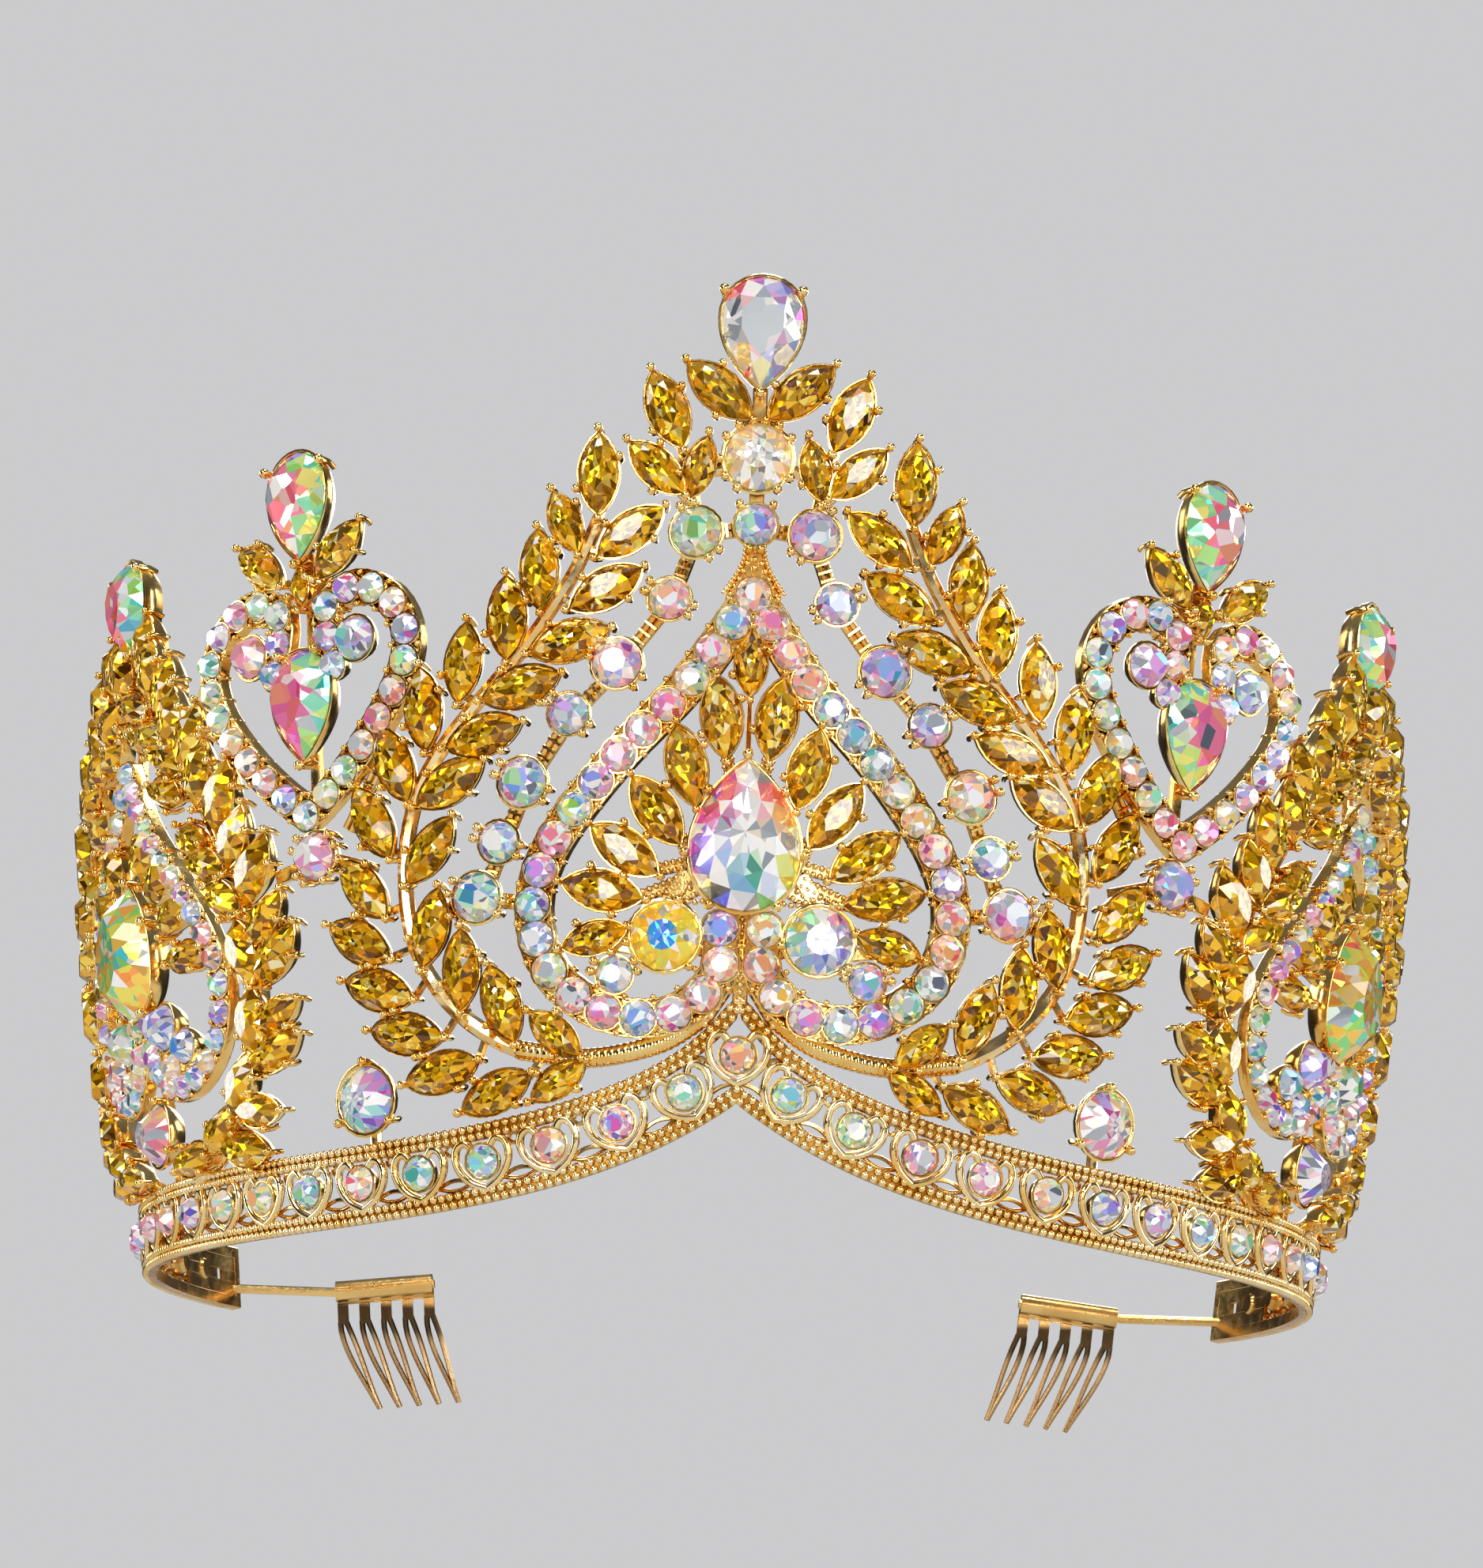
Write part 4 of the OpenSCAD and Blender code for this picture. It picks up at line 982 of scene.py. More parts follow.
# The plate behind the band's last links: its two strips and, from the end, the ribs between them
PLATE_LONG = 17
PLATE_LOW = 1.3
PLATE_TALL = 2.6
PLATE_DEPTHS = (-0.75, -0.2, 0.05)
PLATE_RIBS = ((0, 4.5), (6.3, 9.5), (11.3, 17))


def low_edge(run):
    return PEAK_RISE * math.exp(-abs(run) / PEAK_FALL)


def high_edge(run):
    return BAND_HEIGHT + low_edge(run) + PEAK_POINT * math.exp(-abs(run) / POINT_FALL)


def lean_at(run):
    """How far the band's edge turns a heart out of the upright."""
    fall = PEAK_RISE / PEAK_FALL * math.exp(-abs(run) / PEAK_FALL)
    return math.copysign(math.degrees(math.atan(fall)), run) if run else 0


def band_runs():
    """Runs of the band's hearts from the middle to the right end."""
    knots = [0, 2, 4.5, 8, 12, 17, 23] + list(range(30, int(BAND_END) - 2, 8)) + [BAND_END]
    line = [(r, low_edge(r) + BAND_MIDDLE) for r in knots]
    lengths = path_lengths(line)
    count = math.floor((lengths[-1] - FIRST_HEART - LAST_GAP) / HEART_PITCH)
    return [at_length(line, lengths, FIRST_HEART + n * HEART_PITCH)[0] for n in range(count + 1)]


def mood_of(run, height):
    """A stone's own mood, the same each run, from where it is set."""
    return (math.sin(run * 12.9898 + height * 78.233) * 43758.5453) % 1.0


# Places of everything that is set and the shapes under way, filled as the parts are laid out
leaf_sets = {}
round_sets = {}
pear_sets = {}
prongs, leaf_cups, round_cups, small_pear_cups, large_pear_cups = [Places() for _ in range(5)]
heart_links, lens_links, ring_links = [Places() for _ in range(3)]
strips, wires, stems, rods, band_strips, bead_floors = [Shape() for _ in range(6)]
bead_paths, fine_bead_paths, milgrain_paths, rib_paths = [[] for _ in range(4)]


def add_leaf(group, leaf, side=1, half=1, middle=0, foot=STONE_FOOT):
    """A leaf stone in its cup with four claws, to one side of a middle; returns the place of its foot."""
    run, height, turn, size = leaf
    place = at(side, (run, height), half, middle)
    turn *= side * half
    leaf_sets.setdefault(group, Places()).add(place, turn, h=foot, size=(size,) * 3, mood=mood_of(*place))
    leaf_cups.add(place, turn, h=foot, size=(size, size, 1))
    width, length = LEAF_W * size, LEAF_L * size
    across, along = CLAW_ACROSS * width, CLAW_ALONG * length
    for x, y, spin in ((0, length / 2 - 0.1, 0), (0, -length / 2 + 0.1, 180),
                       (across, along, CLAW_SPIN), (-across, -along, CLAW_SPIN - 180)):
        prongs.add(place, turn, x, y, foot, spin, size=(0.95,) * 3)
    return place_ahead(place, turn, -size * LEAF_L / 2 + 1.0)


def add_round(group, place, diameter, foot=STONE_FOOT, claws=(), turn=0.0, mood=None):
    """A round stone in its cup, with claws at the given angles."""
    large = diameter >= LARGE_ROUND
    size = (diameter, diameter, diameter * (1.0 if large else 1.1))
    round_sets.setdefault((group, large), Places()).add(
        place, turn, h=foot, size=size, mood=mood_of(*place) if mood is None else mood)
    share = diameter / CUP_ROUND
    round_cups.add(place, turn, h=foot, size=(share, share, min(1.0, 0.5 + 0.35 * share)))
    reach = diameter / 2 + 0.05
    for angle in claws:
        x, y = reach * math.sin(math.radians(angle)), reach * math.cos(math.radians(angle))
        prongs.add(place, turn, x, y, foot, angle)


def add_pear(group, place, turn, large, claws, mood):
    """A pear stone in its cup, with claws at the given marks of its outline."""
    pear_sets.setdefault((group, large), Places()).add(place, turn, h=STONE_FOOT, mood=mood)
    (large_pear_cups if large else small_pear_cups).add(place, turn, h=STONE_FOOT)
    outline = pear_outline(*(LARGE_PEAR if large else SMALL_PEAR), CLAW_MARKS)
    for k in claws:
        x, y = outline[k]
        spin = math.degrees(math.atan2(x, y))
        prongs.add(place, turn, x, y, STONE_FOOT + 0.5, spin, size=(1.15,) * 3)


def pairs(*angles_of):
    """Two claws close together at each angle."""
    return [a + d for a in angles_of for d in (-PAIR_HALF, PAIR_HALF)]


def strip(ends, width, low, high):
    """A flat bar through some places, from one height out from the wall to another."""
    strips.sweep(ends, flat_profile(width, low, high))


def bead_line(path, x, h, store):
    """Keeps a line x beside a path and h out from the wall, for a row of beads."""
    store.append([beside(p, path_turn(path, i), x, 0, h) for i, p in enumerate(path)])


def stone_strip(group, path, places, skip, diameter, width, inset=0.62):
    """A channel with round stones set along it nearly edge to edge, and small balls between them."""
    strips.sweep(path, channel_profile(width))
    for place in places[skip:]:
        add_round(group, place, diameter)
    for a, b in zip(places, places[1:]):
        middle = ((a[0] + b[0]) / 2, (a[1] + b[1]) / 2)
        turn = path_turn([a, middle, b], 1)
        for hand in SIDES:
            x = hand * (width / 2 - inset)
            prongs.add(middle, turn, x, 0, STRIP_BALLS, 90 * hand, size=(0.66, 0.66, 0.7))


def root_of(leaf, roots):
    """Where a leaf's stem starts near the middle of a panel."""
    inward, level, upward = roots
    return (leaf[0] * inward, level + (leaf[1] - level) * upward)


def stalk(foot, stem):
    """A leaf's short stalk, from under its foot to the nearest knot of the stem."""
    gaps = [np.linalg.norm(step_between(foot, p)) for p in stem]
    if min(gaps) >= 0.2:
        stems.sweep([foot, stem[int(np.argmin(gaps))]], round_profile(1.05, 0.2, 1.1, 6))


def tapered_stem(path, wide, thin):
    """A polished stem, its width changing evenly from the first end to the last."""
    rows = []
    for i, p in enumerate(path):
        w = wide + (thin - wide) * i / (len(path) - 1)
        rows.append([beside(p, path_turn(path, i), x, 0, h) for x, h in round_profile(w, 0.25, w * 0.95)])
    stems.skin(rows)


def twin_bar(a, b):
    """Two polished rods side by side, with small collars across them."""
    turn = path_turn([a, b], 0)
    rod = round_profile(TWIN_WIDTH / 2, 0.25, 1.2)
    for hand in SIDES:
        wires.skin([[beside(p, turn, hand * TWIN_WIDTH / 4 + x, 0, h) for x, h in rod] for p in (a, b)])
    for share in (0.38, 0.5, 0.62):
        place = (a[0] + (b[0] - a[0]) * share, a[1] + (b[1] - a[1]) * share)
        reach = TWIN_WIDTH / 2 - 0.1
        wires.tube([beside(place, turn, x, 0, 0.62) for x in (-reach, reach)], 0.3, 6)


def lay_band():
    runs = np.concatenate([np.linspace(0, 12, 13), np.linspace(14, BAND_END, 66)])
    runs = np.concatenate([-runs[:0:-1], runs])
    for line in ([(r, low_edge(r) + RAIL_WIDTH / 2) for r in runs],
                 [(r, high_edge(r) - RAIL_WIDTH / 2) for r in runs]):
        band_strips.sweep(line, flat_profile(RAIL_WIDTH, INNER_FACE, RAIL_FACE))
        bead_floors.sweep(line, flat_profile(1.66, 0.2, 0.42, 0.05))
        for x in (-0.5, 0.5):
            bead_line(line, x, 0.7, bead_paths)
    strip_middle = PLATE_LOW + PLATE_TALL / 2
    rib_tall = BAND_HEIGHT - 2 * PLATE_LOW - 2 * PLATE_TALL + 0.2
    for side in SIDES:
        end = side * (BAND_END - 0.6)
        band_strips.sweep([(end, 0.2), (end, BAND_HEIGHT - 0.2)], flat_profile(1.6, INNER_FACE, OUTER_FACE))
        for middle in (strip_middle, BAND_HEIGHT - strip_middle):
            band_strips.sweep([(end - side * k, middle) for k in range(PLATE_LONG + 1)],
                              flat_profile(PLATE_TALL, *PLATE_DEPTHS))
        for rib in PLATE_RIBS:
            band_strips.sweep([(end - side * k, BAND_MIDDLE) for k in rib],
                              flat_profile(rib_tall, *PLATE_DEPTHS))


def lay_hearts():
    right = band_runs()
    runs = [-r for r in right[::-1]] + [0] + right
    for run in runs:
        place = (run, low_edge(run) + BAND_MIDDLE + 0.15 + 0.5 * math.exp(-abs(run) / 2))
        heart_links.add(place, lean_at(run), h=0.6)
        add_round("band_stones", place, BAND_ROUND, foot=0.75)
    for a, b in zip(runs, runs[1:]):
        run = (a + b) / 2
        place = (run, low_edge(run) + BAND_MIDDLE)
        lens_links.add(place, lean_at(run), 0, -2.0, 0.1)
        ring_links.add(place, lean_at(run), 0, 2.2, 0.1)


def lay_front_panel(side):
    curve = mirrored(smooth(OUTLINE_KNOTS, 4), side)
    places = spaced(curve, OUTLINE_COUNT)
    stone_strip("outline_stones", curve, places, SKIPS[side], OUTLINE_ROUND, 4.7, 0.5)
    for leaf in CENTRE_LEAVES:
        ends = [add_leaf("centre_leaves", leaf, side), at(side, root_of(leaf, PANEL_ROOTS))]
        strip(ends, 1.5, -0.5, 0.6)
        for x in (-0.5, 0.5):
            bead_line(ends, x, 0.75, fine_bead_paths)
    add_round("panel_round" + END_OF[side], at(side, PANEL_ROUND), LARGE_ROUND, claws=(20, 140, 260),
              mood=0.92 if side == LEFT else 0.20)
    add_round("panel_stones", at(side, CURL_ROUND), CURL_ROUND[2], claws=pairs(side * 70, side * -70))
    for ends, width, top in PANEL_BARS:
        strip(mirrored(ends, side), width, -0.5, top)
    bead_line(mirrored([(3.6, 38.8), (5.8, 38.4), (8.4, 39.6)], side), 0, 1.1, fine_bead_paths)
    bead_line(mirrored([(2.2, 38.2), (3.4, 36.6)], side), 0, 1.1, fine_bead_paths)


def lay_neck():
    """The panel's neck, edged with small beads, and the cast foot under the centre stones."""
    neck = [(81.6, 1.2), (79.6, 1.35), (78.0, 1.9), (76.6, 2.7), (75.4, 3.4), (73.6, 3.2)]
    rows = []
    for height, half in neck:
        corners = [(-half, 0.45), (half, 0.45), (half, 1.75), (half - 0.3, 1.95), (half - 0.5, 1.4),
                   (-half + 0.5, 1.4), (-half + 0.3, 1.95), (-half, 1.75)]
        rows.append([beside((0, height), 0, x, 0, h) for x, h in corners])
    strips.skin(rows)
    for hand in SIDES:
        bead_line([(hand * (half - 0.25), height) for height, half in neck[:5]], 0, 1.95, milgrain_paths)
    for ends in ([(0, 80.6), (0, 77.4)], [(-0.75, 79.0), (-2.3, 75.2)], [(0.75, 79.0), (2.3, 75.2)]):
        bead_line(ends, 0, 1.6, fine_bead_paths)
    stems.sweep([(0, 66), (0, 55)], round_profile(0.7, -0.1))
    strip([(0, 40), (0, 27)], 1.8, -0.6, 0.7)
    bead_line([(0, 37.5), (0, 26.5)], 0, 0.85, fine_bead_paths)
    add_leaf("centre_leaves", CENTRE_TOP_LEAF)
    add_pear("centre_pear", CENTRE_PEAR_AT, 0, True, (0, 9, 20, 30, 42, 52, 63), 0.98)
    strip([(-4.2, 24.6), (0, 30.5), (4.2, 24.6)], 1.9, INNER_FACE, 0.6)
    for x in (-0.45, 0.45):
        bead_line([(-4.2, 24.6), (-1.6, 28.6), (0, 31.2), (1.6, 28.6), (4.2, 24.6)], x, 0.7, bead_paths)


def lay_crest():
    add_round("string_stones", STRING_CENTRE[:2], STRING_CENTRE[2], claws=pairs(180) + [40, -40])
    add_round("crest_stones", CREST_ROUND_AT, LARGE_ROUND, claws=pairs(45, -45, 135, -135), mood=0.84)
    add_pear("crest_pear", CREST_PEAR_AT, 180, False, SMALL_PEAR_CLAWS, 0.86)
    strip([(0, 104), (0, NECK_TOP)], 1.8, -0.6, 0.7)
    for side in SIDES:
        for leaf in CREST_LEAVES:
            add_leaf("crest_leaves", leaf, side)
        for path, width, tall in CREST_STEMS:
            stems.sweep(mirrored(path, side), round_profile(width, 0.1, tall))


def lay_string(side):
    """The string of rounds over the shoulder, joined by twin bars."""
    places = mirrored(STRING, side)
    for i, place in enumerate(places):
        claws = pairs(*([90, -90] if i else [side * -140, side * 60]))
        add_round("string_stones", place, STRING[i][2], claws=claws, turn=path_turn(places, i))
    for a, b in zip(places, places[1:]):
        twin_bar(a, b)
    twin_bar((0, STRING_CENTRE[1]), places[0])
    twin_bar(places[-1], (side * 23, 38.4))
    twin_bar(places[-1], (side * 38, 37.5))
    twin_bar(places[0], (side * 6.9, 88.5))


def lay_laurel(side):
    curve = mirrored(smooth(LAUREL_STEM, 3), side)
    tapered_stem(curve, 1.8, 2.3)
    bead_line(mirrored(smooth(LAUREL_STEM[-4:], 5), side), 0, 0.25, rib_paths)
    for leaf in LAUREL:
        stalk(add_leaf("laurel_leaves", leaf, side), curve)


def lay_heart(side):
    for half in SIDES:
        curve = mirrored(smooth(moved(HEART_KNOTS, HEART_RUN, half), 4), side)
        places = pitched(curve, 4.02)
        stone_strip("heart_outline_stones", curve, places, SKIPS[half], 3.8, 4.4)
        add_round("heart_stones", at(side, HEART_EYE, half, HEART_RUN), HEART_EYE[2])
    for leaf in HEART_LEAVES:
        foot = add_leaf("heart_leaves", leaf, side)
        stems.sweep([foot, (side * HEART_RUN, max(77, leaf[1] - 5))], round_profile(1.2, 0.2, 1.2, 6))
    for place, claws in ((HEART_PEAR_AT, (0, 30, 42)), (HEART_TOP_PEAR_AT, SMALL_PEAR_CLAWS)):
        add_pear("heart_pears" + END_OF[side], at(side, place), 180, False, claws, 0.13)
    add_round("heart_stones", at(side, HEART_FOOT), HEART_FOOT[2], claws=pairs(60, -60, 140, -140))
    strip(mirrored([(HEART_RUN, 85), (HEART_RUN, 47)], side), 1.6, -0.55, 0.4)
    strip(mirrored([(44, 44), HEART_FOOT, (58, 44.5)], side), 1.8, -0.55, 0.5)
    twin_bar((side * 41, 60), (side * 47.5, 49.4))


def lay_side_half(side, half):
    """One half of a side panel; the half towards the front is LEFT."""
    curve = mirrored(smooth(moved(OUTLINE_KNOTS, SIDE_RUN, half, SIDE_SCALE, SIDE_DROP), 3), side)
    places = pitched(curve, 3.55)
    stone_strip("side_outline_stones", curve, places, SKIPS[half], 3.35, 3.9)
    for leaf in SIDE_CENTRE_LEAVES:
        foot = add_leaf("side_leaves", leaf, side, half, SIDE_RUN)
        root = at(side, root_of(leaf, SIDE_ROOTS), half, SIDE_RUN)
        stems.sweep([foot, root], round_profile(1.1, 0.2, 1.2, 6))
    eye = at(side, SIDE_ROUND, half, SIDE_RUN)
    add_round("side_stones", eye, SIDE_ROUND[2])
    strip([eye, (side * SIDE_RUN, 31)], 1.6, -0.5, 0.6)
    for spot in SIDE_SMALL_ROUNDS:
        add_round("side_stones", at(side, spot, -half, SIDE_RUN), spot[2])
    for leaf in SIDE_OVER_LEAVES:
        add_leaf("side_laurel_leaves", leaf, side, -half, SIDE_RUN, OVER_STEM)
    stem = mirrored(smooth(moved(SIDE_STEM, SIDE_RUN, half), 3), side)
    tapered_stem(stem, 1.7, 2.1)
    lengths = path_lengths(SIDE_STEM)
    for along, hand, angle, size, foot in SIDE_LEAVES:
        p, q = [at_length(SIDE_STEM, lengths, s) for s in (along, along + 1)]
        turn = path_turn([p, q], 0) - 180 + hand * angle
        place = place_ahead(p, turn, 1.1 / math.sin(math.radians(angle)) + size * LEAF_L / 2)
        stalk(add_leaf("side_laurel_leaves", (*place, turn, size), side, half, SIDE_RUN, foot), stem)


def lay_side_panel(side):
    for half in SIDES:
        lay_side_half(side, half)
    add_pear("side_pears", at(side, SIDE_PEAR_AT), 0, True, (0, 12, 30, 42, 60), 0.70)
    add_pear("side_top_pear" + END_OF[side], at(side, SIDE_TOP_PEAR_AT), 180, False, SMALL_PEAR_CLAWS, 0.10)
    add_round("side_stones", at(side, SIDE_FOOT), LARGE_ROUND, claws=(0, 120, 240))
    strip(mirrored([(SIDE_RUN, 84), (SIDE_RUN, 60)], side), 2.0, -0.55, 0.5)
    strip(mirrored([(SIDE_RUN, 24), (SIDE_RUN, 8)], side), 1.6, -0.55, 0.5)


def lay_foot(side):
    add_round("foot_stones", at(side, FOOT_AT), LARGE_ROUND, claws=(0, 125, 235),
              mood=0.22 if side == LEFT else 0.76)
    stems.sweep(mirrored([FOOT_AT, (FOOT_AT[0], 9)], side), round_profile(1.6, 0.1, 1.2))


# Combs: a rolled spine on the rod, a short plate and five teeth, each a loop of two strands
COMB_WIDTH = 15
COMB_START, COMB_STOP = 0.3, 0.3 + COMB_WIDTH
COMB_TURN = math.radians(6.5)
COMB_BACK, COMB_FACE, COMB_TOP = 1.7, 0.95, -0.3
ROLL_RADIUS = 1.6
ROLL_INNER = ROLL_RADIUS - 0.7
ROLL_START, ROLL_STOP = 130, 450
TEETH = 5
TOOTH_WIDTH = 1.6
TOOTH_PITCH = (COMB_WIDTH - TOOTH_WIDTH) / (TEETH - 1)
TOOTH_TOP, STRAND_TOP, TOOTH_TIP = -1.9, -4.6, -18.2
TOOTH_SLANT = 3.8
STRAND_STEPS = 10
ROD_ANGLE = math.radians(111)
ROD_HEIGHT = 3.0
ROD_KNEE = (15.2, 1.2, 0.1)
ROD_LENGTH = 15.9
ROD_RADIUS = 0.7


def rod_ends(side):
    """Start on the band, knee and end of the rod that carries a comb."""
    x, y, z = ROD_KNEE
    sine, cosine = math.sin(ROD_ANGLE), math.cos(ROD_ANGLE)
    start = np.array([side * BAND_RADIUS * sine, -BAND_RADIUS * cosine, ROD_HEIGHT])
    knee = start + np.array([-side * x, y, z])
    return start, knee, knee + ROD_LENGTH * np.array([-side * math.cos(COMB_TURN), 0, math.sin(COMB_TURN)])


def comb_point(side, x, y, z):
    c, s = math.cos(COMB_TURN), math.sin(COMB_TURN)
    return rod_ends(side)[2] + np.array([side * (x * c + z * s), y, z * c - x * s])


def comb_slab(shape, side, start, stop, z_range):
    """A flat part of the stamped plate."""
    corners = [(start, COMB_FACE), (stop, COMB_FACE), (stop, COMB_BACK), (start, COMB_BACK)]
    shape.skin([[comb_point(side, x, y, z) for x, y in corners] for z in z_range])


def lay_comb(side):
    shape = Shape()
    arc = [math.radians(a) for a in range(ROLL_START, ROLL_STOP + 1, 20)]
    roll = [(ROLL_RADIUS * math.sin(a), ROLL_RADIUS * math.cos(a)) for a in arc]
    roll += [(ROLL_INNER * math.sin(a), ROLL_INNER * math.cos(a)) for a in arc[::-1]]
    shape.skin([[comb_point(side, x, y, z) for y, z in roll] for x in (COMB_START, COMB_STOP)])
    comb_slab(shape, side, COMB_START, COMB_STOP, (COMB_TOP, TOOTH_TOP))
    for i in range(TEETH):
        middle = COMB_START + TOOTH_WIDTH / 2 + i * TOOTH_PITCH
        comb_slab(shape, side, middle - TOOTH_WIDTH / 2, middle + TOOTH_WIDTH / 2,
                  (TOOTH_TOP + 0.1, STRAND_TOP - 0.4))
        for hand in SIDES:
            strand, radii = [], []
            for k in range(STRAND_STEPS + 1):
                t = k / STRAND_STEPS
                down = STRAND_TOP + (TOOTH_TIP - STRAND_TOP) * t
                half = 0.1 + 0.36 * (1 - t) + 3.2 * t * (1 - t) ** 2
                lean = -(TOOTH_SLANT + 0.32 * i) * t ** 1.25
                strand.append(comb_point(side, middle + hand * half + lean, 1.32 + 1.2 * t * (1 - t), down))
                radii.append(0.46 - 0.1 * k / STRAND_STEPS)
            shape.tube(strand, radii, 7)
    return shape


lay_band()
lay_hearts()
lay_neck()
lay_crest()
for one_side in SIDES:
    lay_front_panel(one_side)
    lay_string(one_side)
    lay_laurel(one_side)
    lay_heart(one_side)
    lay_side_panel(one_side)
    lay_foot(one_side)
    rods.tube(rod_ends(one_side), ROD_RADIUS, 10)

# The metal
metal = piece("cast_strips", strips, cast)
piece("band_rails", band_strips, cast)
piece("band_bead_floors", bead_floors, shaded)
piece("edge_wires_and_ribs", wires, polished)
piece("stems", stems, stem_gilt)
piece("comb_rods", rods, comb_gilt)
heart_links.grow("heart_links", heart_link, bright, SHARP_BEAD)
lens_links.grow("lens_links", lens_link, polished, SHARP_BEAD)
ring_links.grow("ring_links", ring_pattern(), polished, SHARP_BEAD)
bead_rows("band_beads", bead_paths, 1.14, 1.04, bright)
bead_rows("panel_beads", fine_bead_paths, 0.85, 0.8, bright)
bead_rows("milgrain_edges", milgrain_paths, 0.5, 0.54, bright)
bead_rows("ribbed_stem_ends", rib_paths, 0.8, 2.5, beaded)
prongs.grow("ball_prongs", prong, beaded, SHARP_BEAD)
leaf_cups.grow("leaf_cups", leaf_cup, cupped, SHARP_CUP)
round_cups.grow("round_cups", round_cup, cupped, SHARP_CUP)
small_pear_cups.grow("small_pear_cups", small_pear_cup, cupped, SHARP_CUP)
large_pear_cups.grow("large_pear_cups", large_pear_cup, cupped, SHARP_CUP)
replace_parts(metal, "frame")

# The solids that a piece of stones stands for, where they have other names than its group
STANDS_FOR = {
    "band_stones": [], "panel_stones": [], "heart_outline_stones": [], "side_outline_stones": [],
    "crest_stones": ["crest_round"], "outline_stones": ["outline_rounds"],
    "string_stones": ["string_centre_round", "string_rounds_left", "string_rounds_right"]}
for group, stem in (("foot_stones", "foot_round"), ("heart_stones", "heart_foot_round"),
                    ("side_pears", "side_pear"), ("side_stones", "side_foot_round"),
                    ("laurel_leaves", "laurel"), ("heart_leaves", "heart_leaves"),
                    ("side_leaves", "side_leaves"), ("side_laurel_leaves", "side_laurel")):
    STANDS_FOR[group] = [stem + end for end in END_OF.values()]
for end in END_OF.values():
    STANDS_FOR["heart_pears" + end] = ["heart_pear" + end, "heart_top_pear" + end]


def cut_stones(places, group, pattern, material, slot, ending=""):
    """A piece of stones, which replaces its solids, each of them once."""
    made = places.grow("cut_" + group + ending, pattern, material, slot=slot)
    names = STANDS_FOR.get(group, [group])
    STANDS_FOR[group] = []
    if names:
        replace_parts(made, *names)


def crystal_for(group, usual):
    return crystals[CRYSTAL_OF.get(group, usual)]


for group, places in leaf_sets.items():
    cut_stones(places, group, leaf_cut, topaz, "topaz")
for (group, large), places in round_sets.items():
    material = crystal_for(group, "large_stones" if large else "small_stones")
    ending = "_large" if large else ""
    cut_stones(places, group, large_cut if large else small_cut, material, "crystal", ending)
for (group, large), places in pear_sets.items():
    pattern = large_pear_cut if large else small_pear_cut
    cut_stones(places, group, pattern, crystal_for(group, "large_stones"), "crystal")

for one_side in SIDES:
    name = "comb" + END_OF[one_side]
    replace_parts(piece("hair_" + name, lay_comb(one_side), comb_gilt), name)

for obj in [o for o in bpy.data.objects if o.name.endswith("_pattern")]:
    bpy.data.objects.remove(obj)


# Camera: focal length and longer side of the frame in pixels, yaw, pitch and roll, and place
FOCAL_PX, FRAME_PX = 3562, 1984
SENSOR_WIDTH = 36
CAMERA_TURNS = (-0.13, 16.18, 1.94)
CAMERA_AT = (-1.4, -413, -41)


def look():
    """The photo's own view, from the front and a little below."""
    camera = bpy.data.cameras.new("camera")
    camera.sensor_width = SENSOR_WIDTH
    camera.lens = FOCAL_PX * SENSOR_WIDTH / FRAME_PX
    camera.clip_start = 0.01
    yaw, pitch, roll = [math.radians(a) for a in CAMERA_TURNS]
    right = np.array([math.cos(yaw), math.sin(yaw), 0])
    ahead = np.array([-math.sin(yaw) * math.cos(pitch), math.cos(yaw) * math.cos(pitch), math.sin(pitch)])
    up = np.cross(right, ahead)
    across = math.cos(roll) * right + math.sin(roll) * up
    over = -math.sin(roll) * right + math.cos(roll) * up
    grid = Matrix([[across[k], over[k], -ahead[k]] for k in range(3)]).to_4x4()
    grid.translation = [c * MM for c in CAMERA_AT]
    obj = put("camera", camera)
    obj.matrix_world = grid
    bpy.context.scene.camera = obj


# Floor, light and surroundings
FLOOR_HALF, FLOOR_LEVEL = 520, -64


def stage_floor():
    paint = Paint("floor_matt_card")
    shade = paint.mix(paint.noise(9, 3).between(0.3, 0.7), (0.56, 0.55, 0.54), (0.62, 0.61, 0.60))
    grain = paint.bump(paint.noise(700, 2), 0.08, 0.0002)
    card = paint.finish(base_color=shade, roughness=0.7, normal=grain)
    corners = [(-FLOOR_HALF, -FLOOR_HALF), (FLOOR_HALF, -FLOOR_HALF),
               (FLOOR_HALF, FLOOR_HALF), (-FLOOR_HALF, FLOOR_HALF)]
    shape = Shape()
    shape.add(lifted(corners, FLOOR_LEVEL), [[0, 1, 2, 3]])
    obj = put("floor", shape.mesh("floor", MM))
    obj.data.materials.append(card)


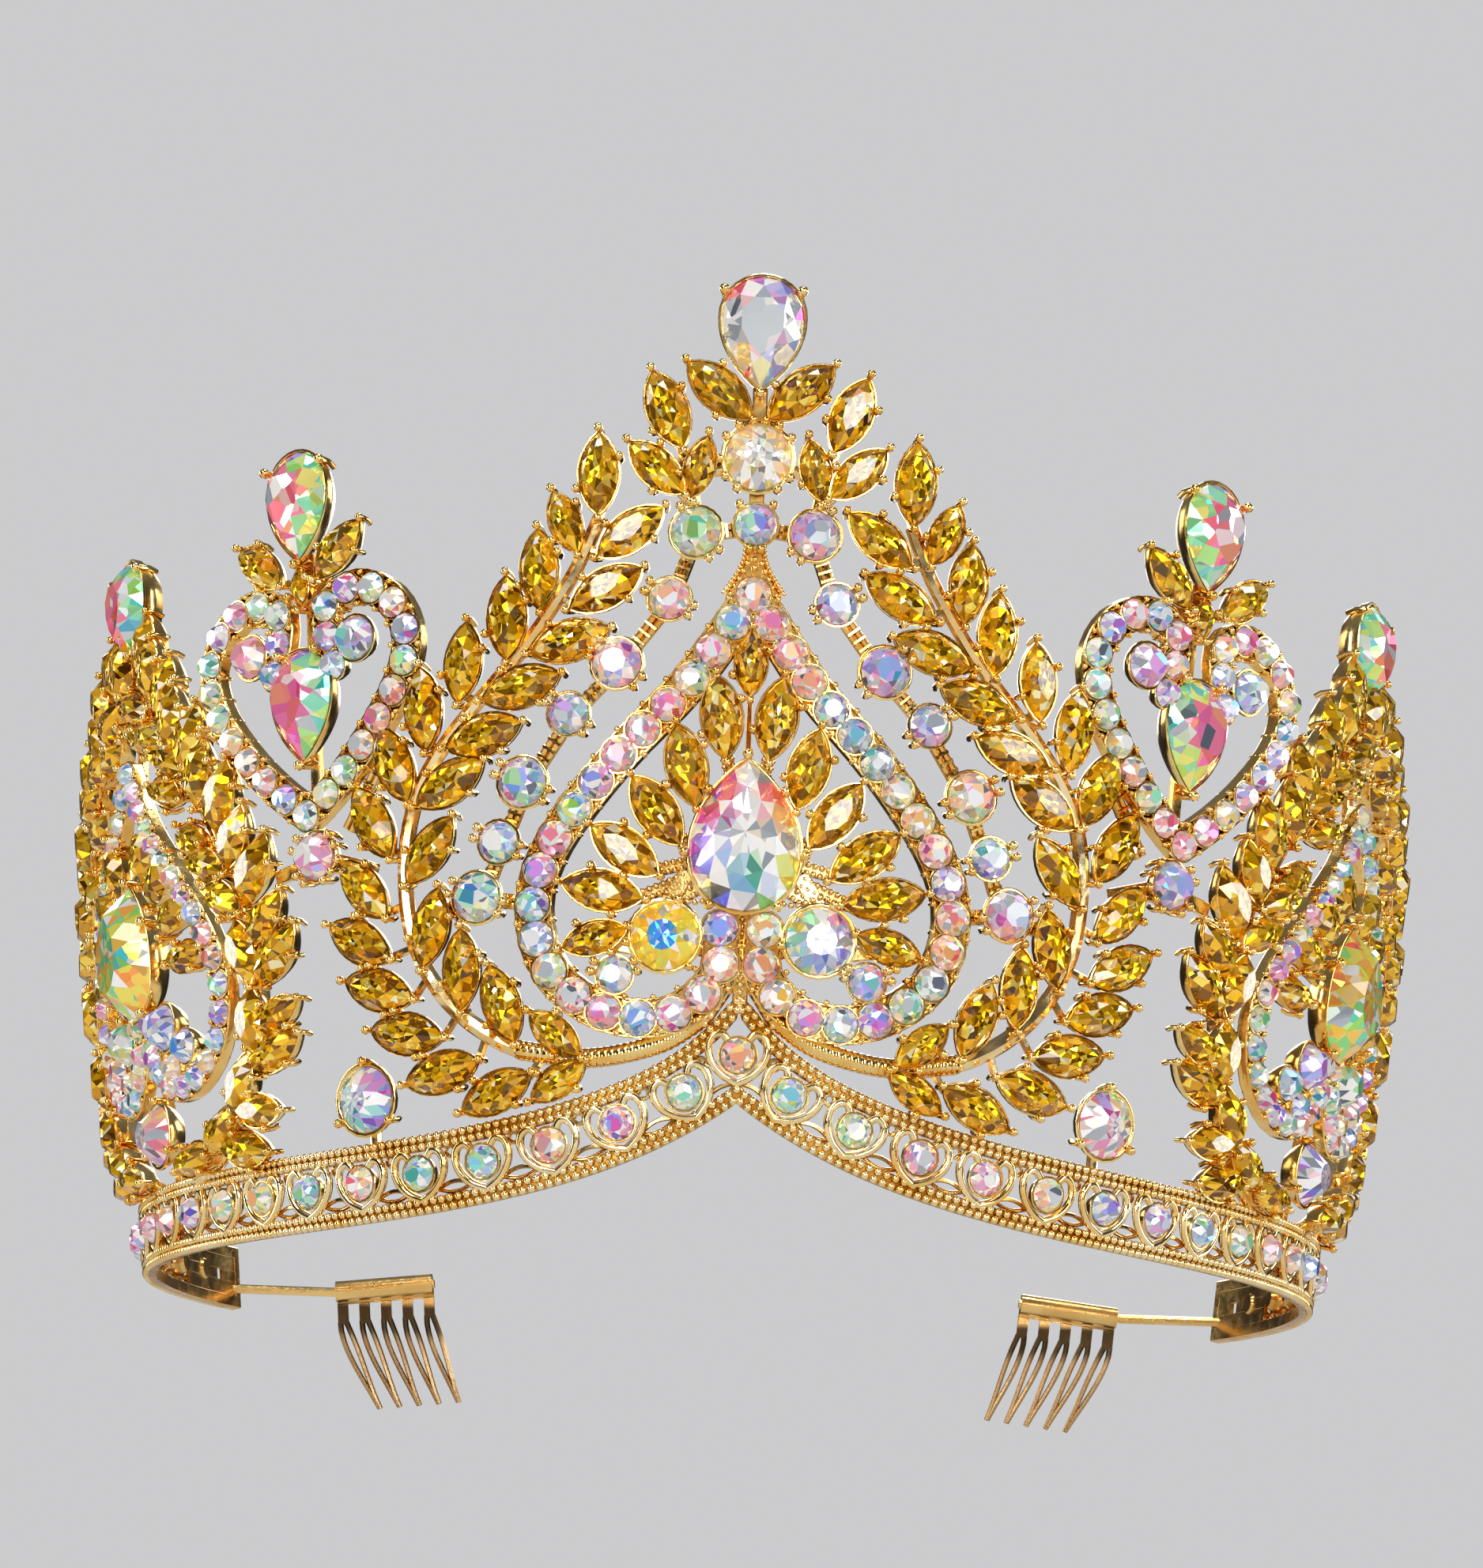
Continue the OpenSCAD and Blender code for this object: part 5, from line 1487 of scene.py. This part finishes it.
# Lamps: place, what each looks at, width, height, power and colour
WARM, WHITE, COOL = (1.0, 0.95, 0.88), (1.0, 1.0, 1.0), (0.93, 0.97, 1.0)
LAMP_AIM = (0, 0, 0.05)
BACK_AIM = (0, 0, 0.03)
LAMPS = {
    "key": ((-0.45, -0.75, 0.65), LAMP_AIM, 0.34, 0.34, 4.4, WARM),
    "top": ((0.05, -0.15, 0.85), LAMP_AIM, 0.36, 0.24, 2.6, WHITE),
    "front_left": ((-0.30, -0.85, 0.12), LAMP_AIM, 0.10, 0.34, 1.5, WHITE),
    "front_right": ((0.22, -0.88, 0.12), LAMP_AIM, 0.08, 0.34, 1.2, WHITE),
    "front_card": ((0.0, -0.95, 0.06), LAMP_AIM, 0.40, 0.34, 0.17, WARM),
    "fill": ((0.62, -0.62, 0.25), LAMP_AIM, 0.16, 0.5, 2.2, COOL),
    "strip_left": ((-0.88, 0.0, 0.2), LAMP_AIM, 0.10, 0.6, 2.0, WHITE),
    "strip_right": ((0.88, 0.0, 0.2), LAMP_AIM, 0.10, 0.6, 2.0, WARM),
    "back": ((0.1, 0.75, 0.45), LAMP_AIM, 0.5, 0.3, 2.2, WHITE),
    "back_left": ((-0.70, 0.52, 0.46), BACK_AIM, 0.36, 0.28, 0.9, WARM),
    "back_right": ((0.70, 0.52, 0.46), BACK_AIM, 0.36, 0.28, 0.9, WARM)}


def lamp(name, place, aim, width, tall, power, colour):
    light = bpy.data.lights.new(name, "AREA")
    light.shape = "RECTANGLE"
    light.size, light.size_y = width, tall
    light.energy = power
    light.color = colour
    away = np.array(place) - np.array(aim)
    turn = Vector(away).to_track_quat("Z", "Y")
    put(name, light).matrix_world = Matrix.Translation(place) @ turn.to_matrix().to_4x4()


def surroundings():
    """A soft pale room: brighter overhead, greyer towards the floor; straight behind, an even grey."""
    room = Paint("studio", "worlds")
    bpy.context.scene.world = room.owner
    height = room.parts(room.node("ShaderNodeTexCoord"))[2]
    stops = [(0.0, (0.02, 0.02, 0.022)), (0.3, (0.035, 0.035, 0.04)), (0.8, (0.15, 0.15, 0.16))]
    glow = room.node("ShaderNodeBackground", {}, {"Color": room.ramp(height, stops)})
    seen = room.node("ShaderNodeBackground", {}, {"Color": (0.60, 0.60, 0.61, 1)})
    direct = room.node("ShaderNodeLightPath")
    mixed = room.node("ShaderNodeMixShader", {}, {0: direct, 1: glow, 2: seen})
    room.node("ShaderNodeOutputWorld", {}, {0: mixed})


look()
stage_floor()
for name, values in LAMPS.items():
    lamp(name, *values)
surroundings()
bpy.context.scene.view_settings.view_transform = "Standard"
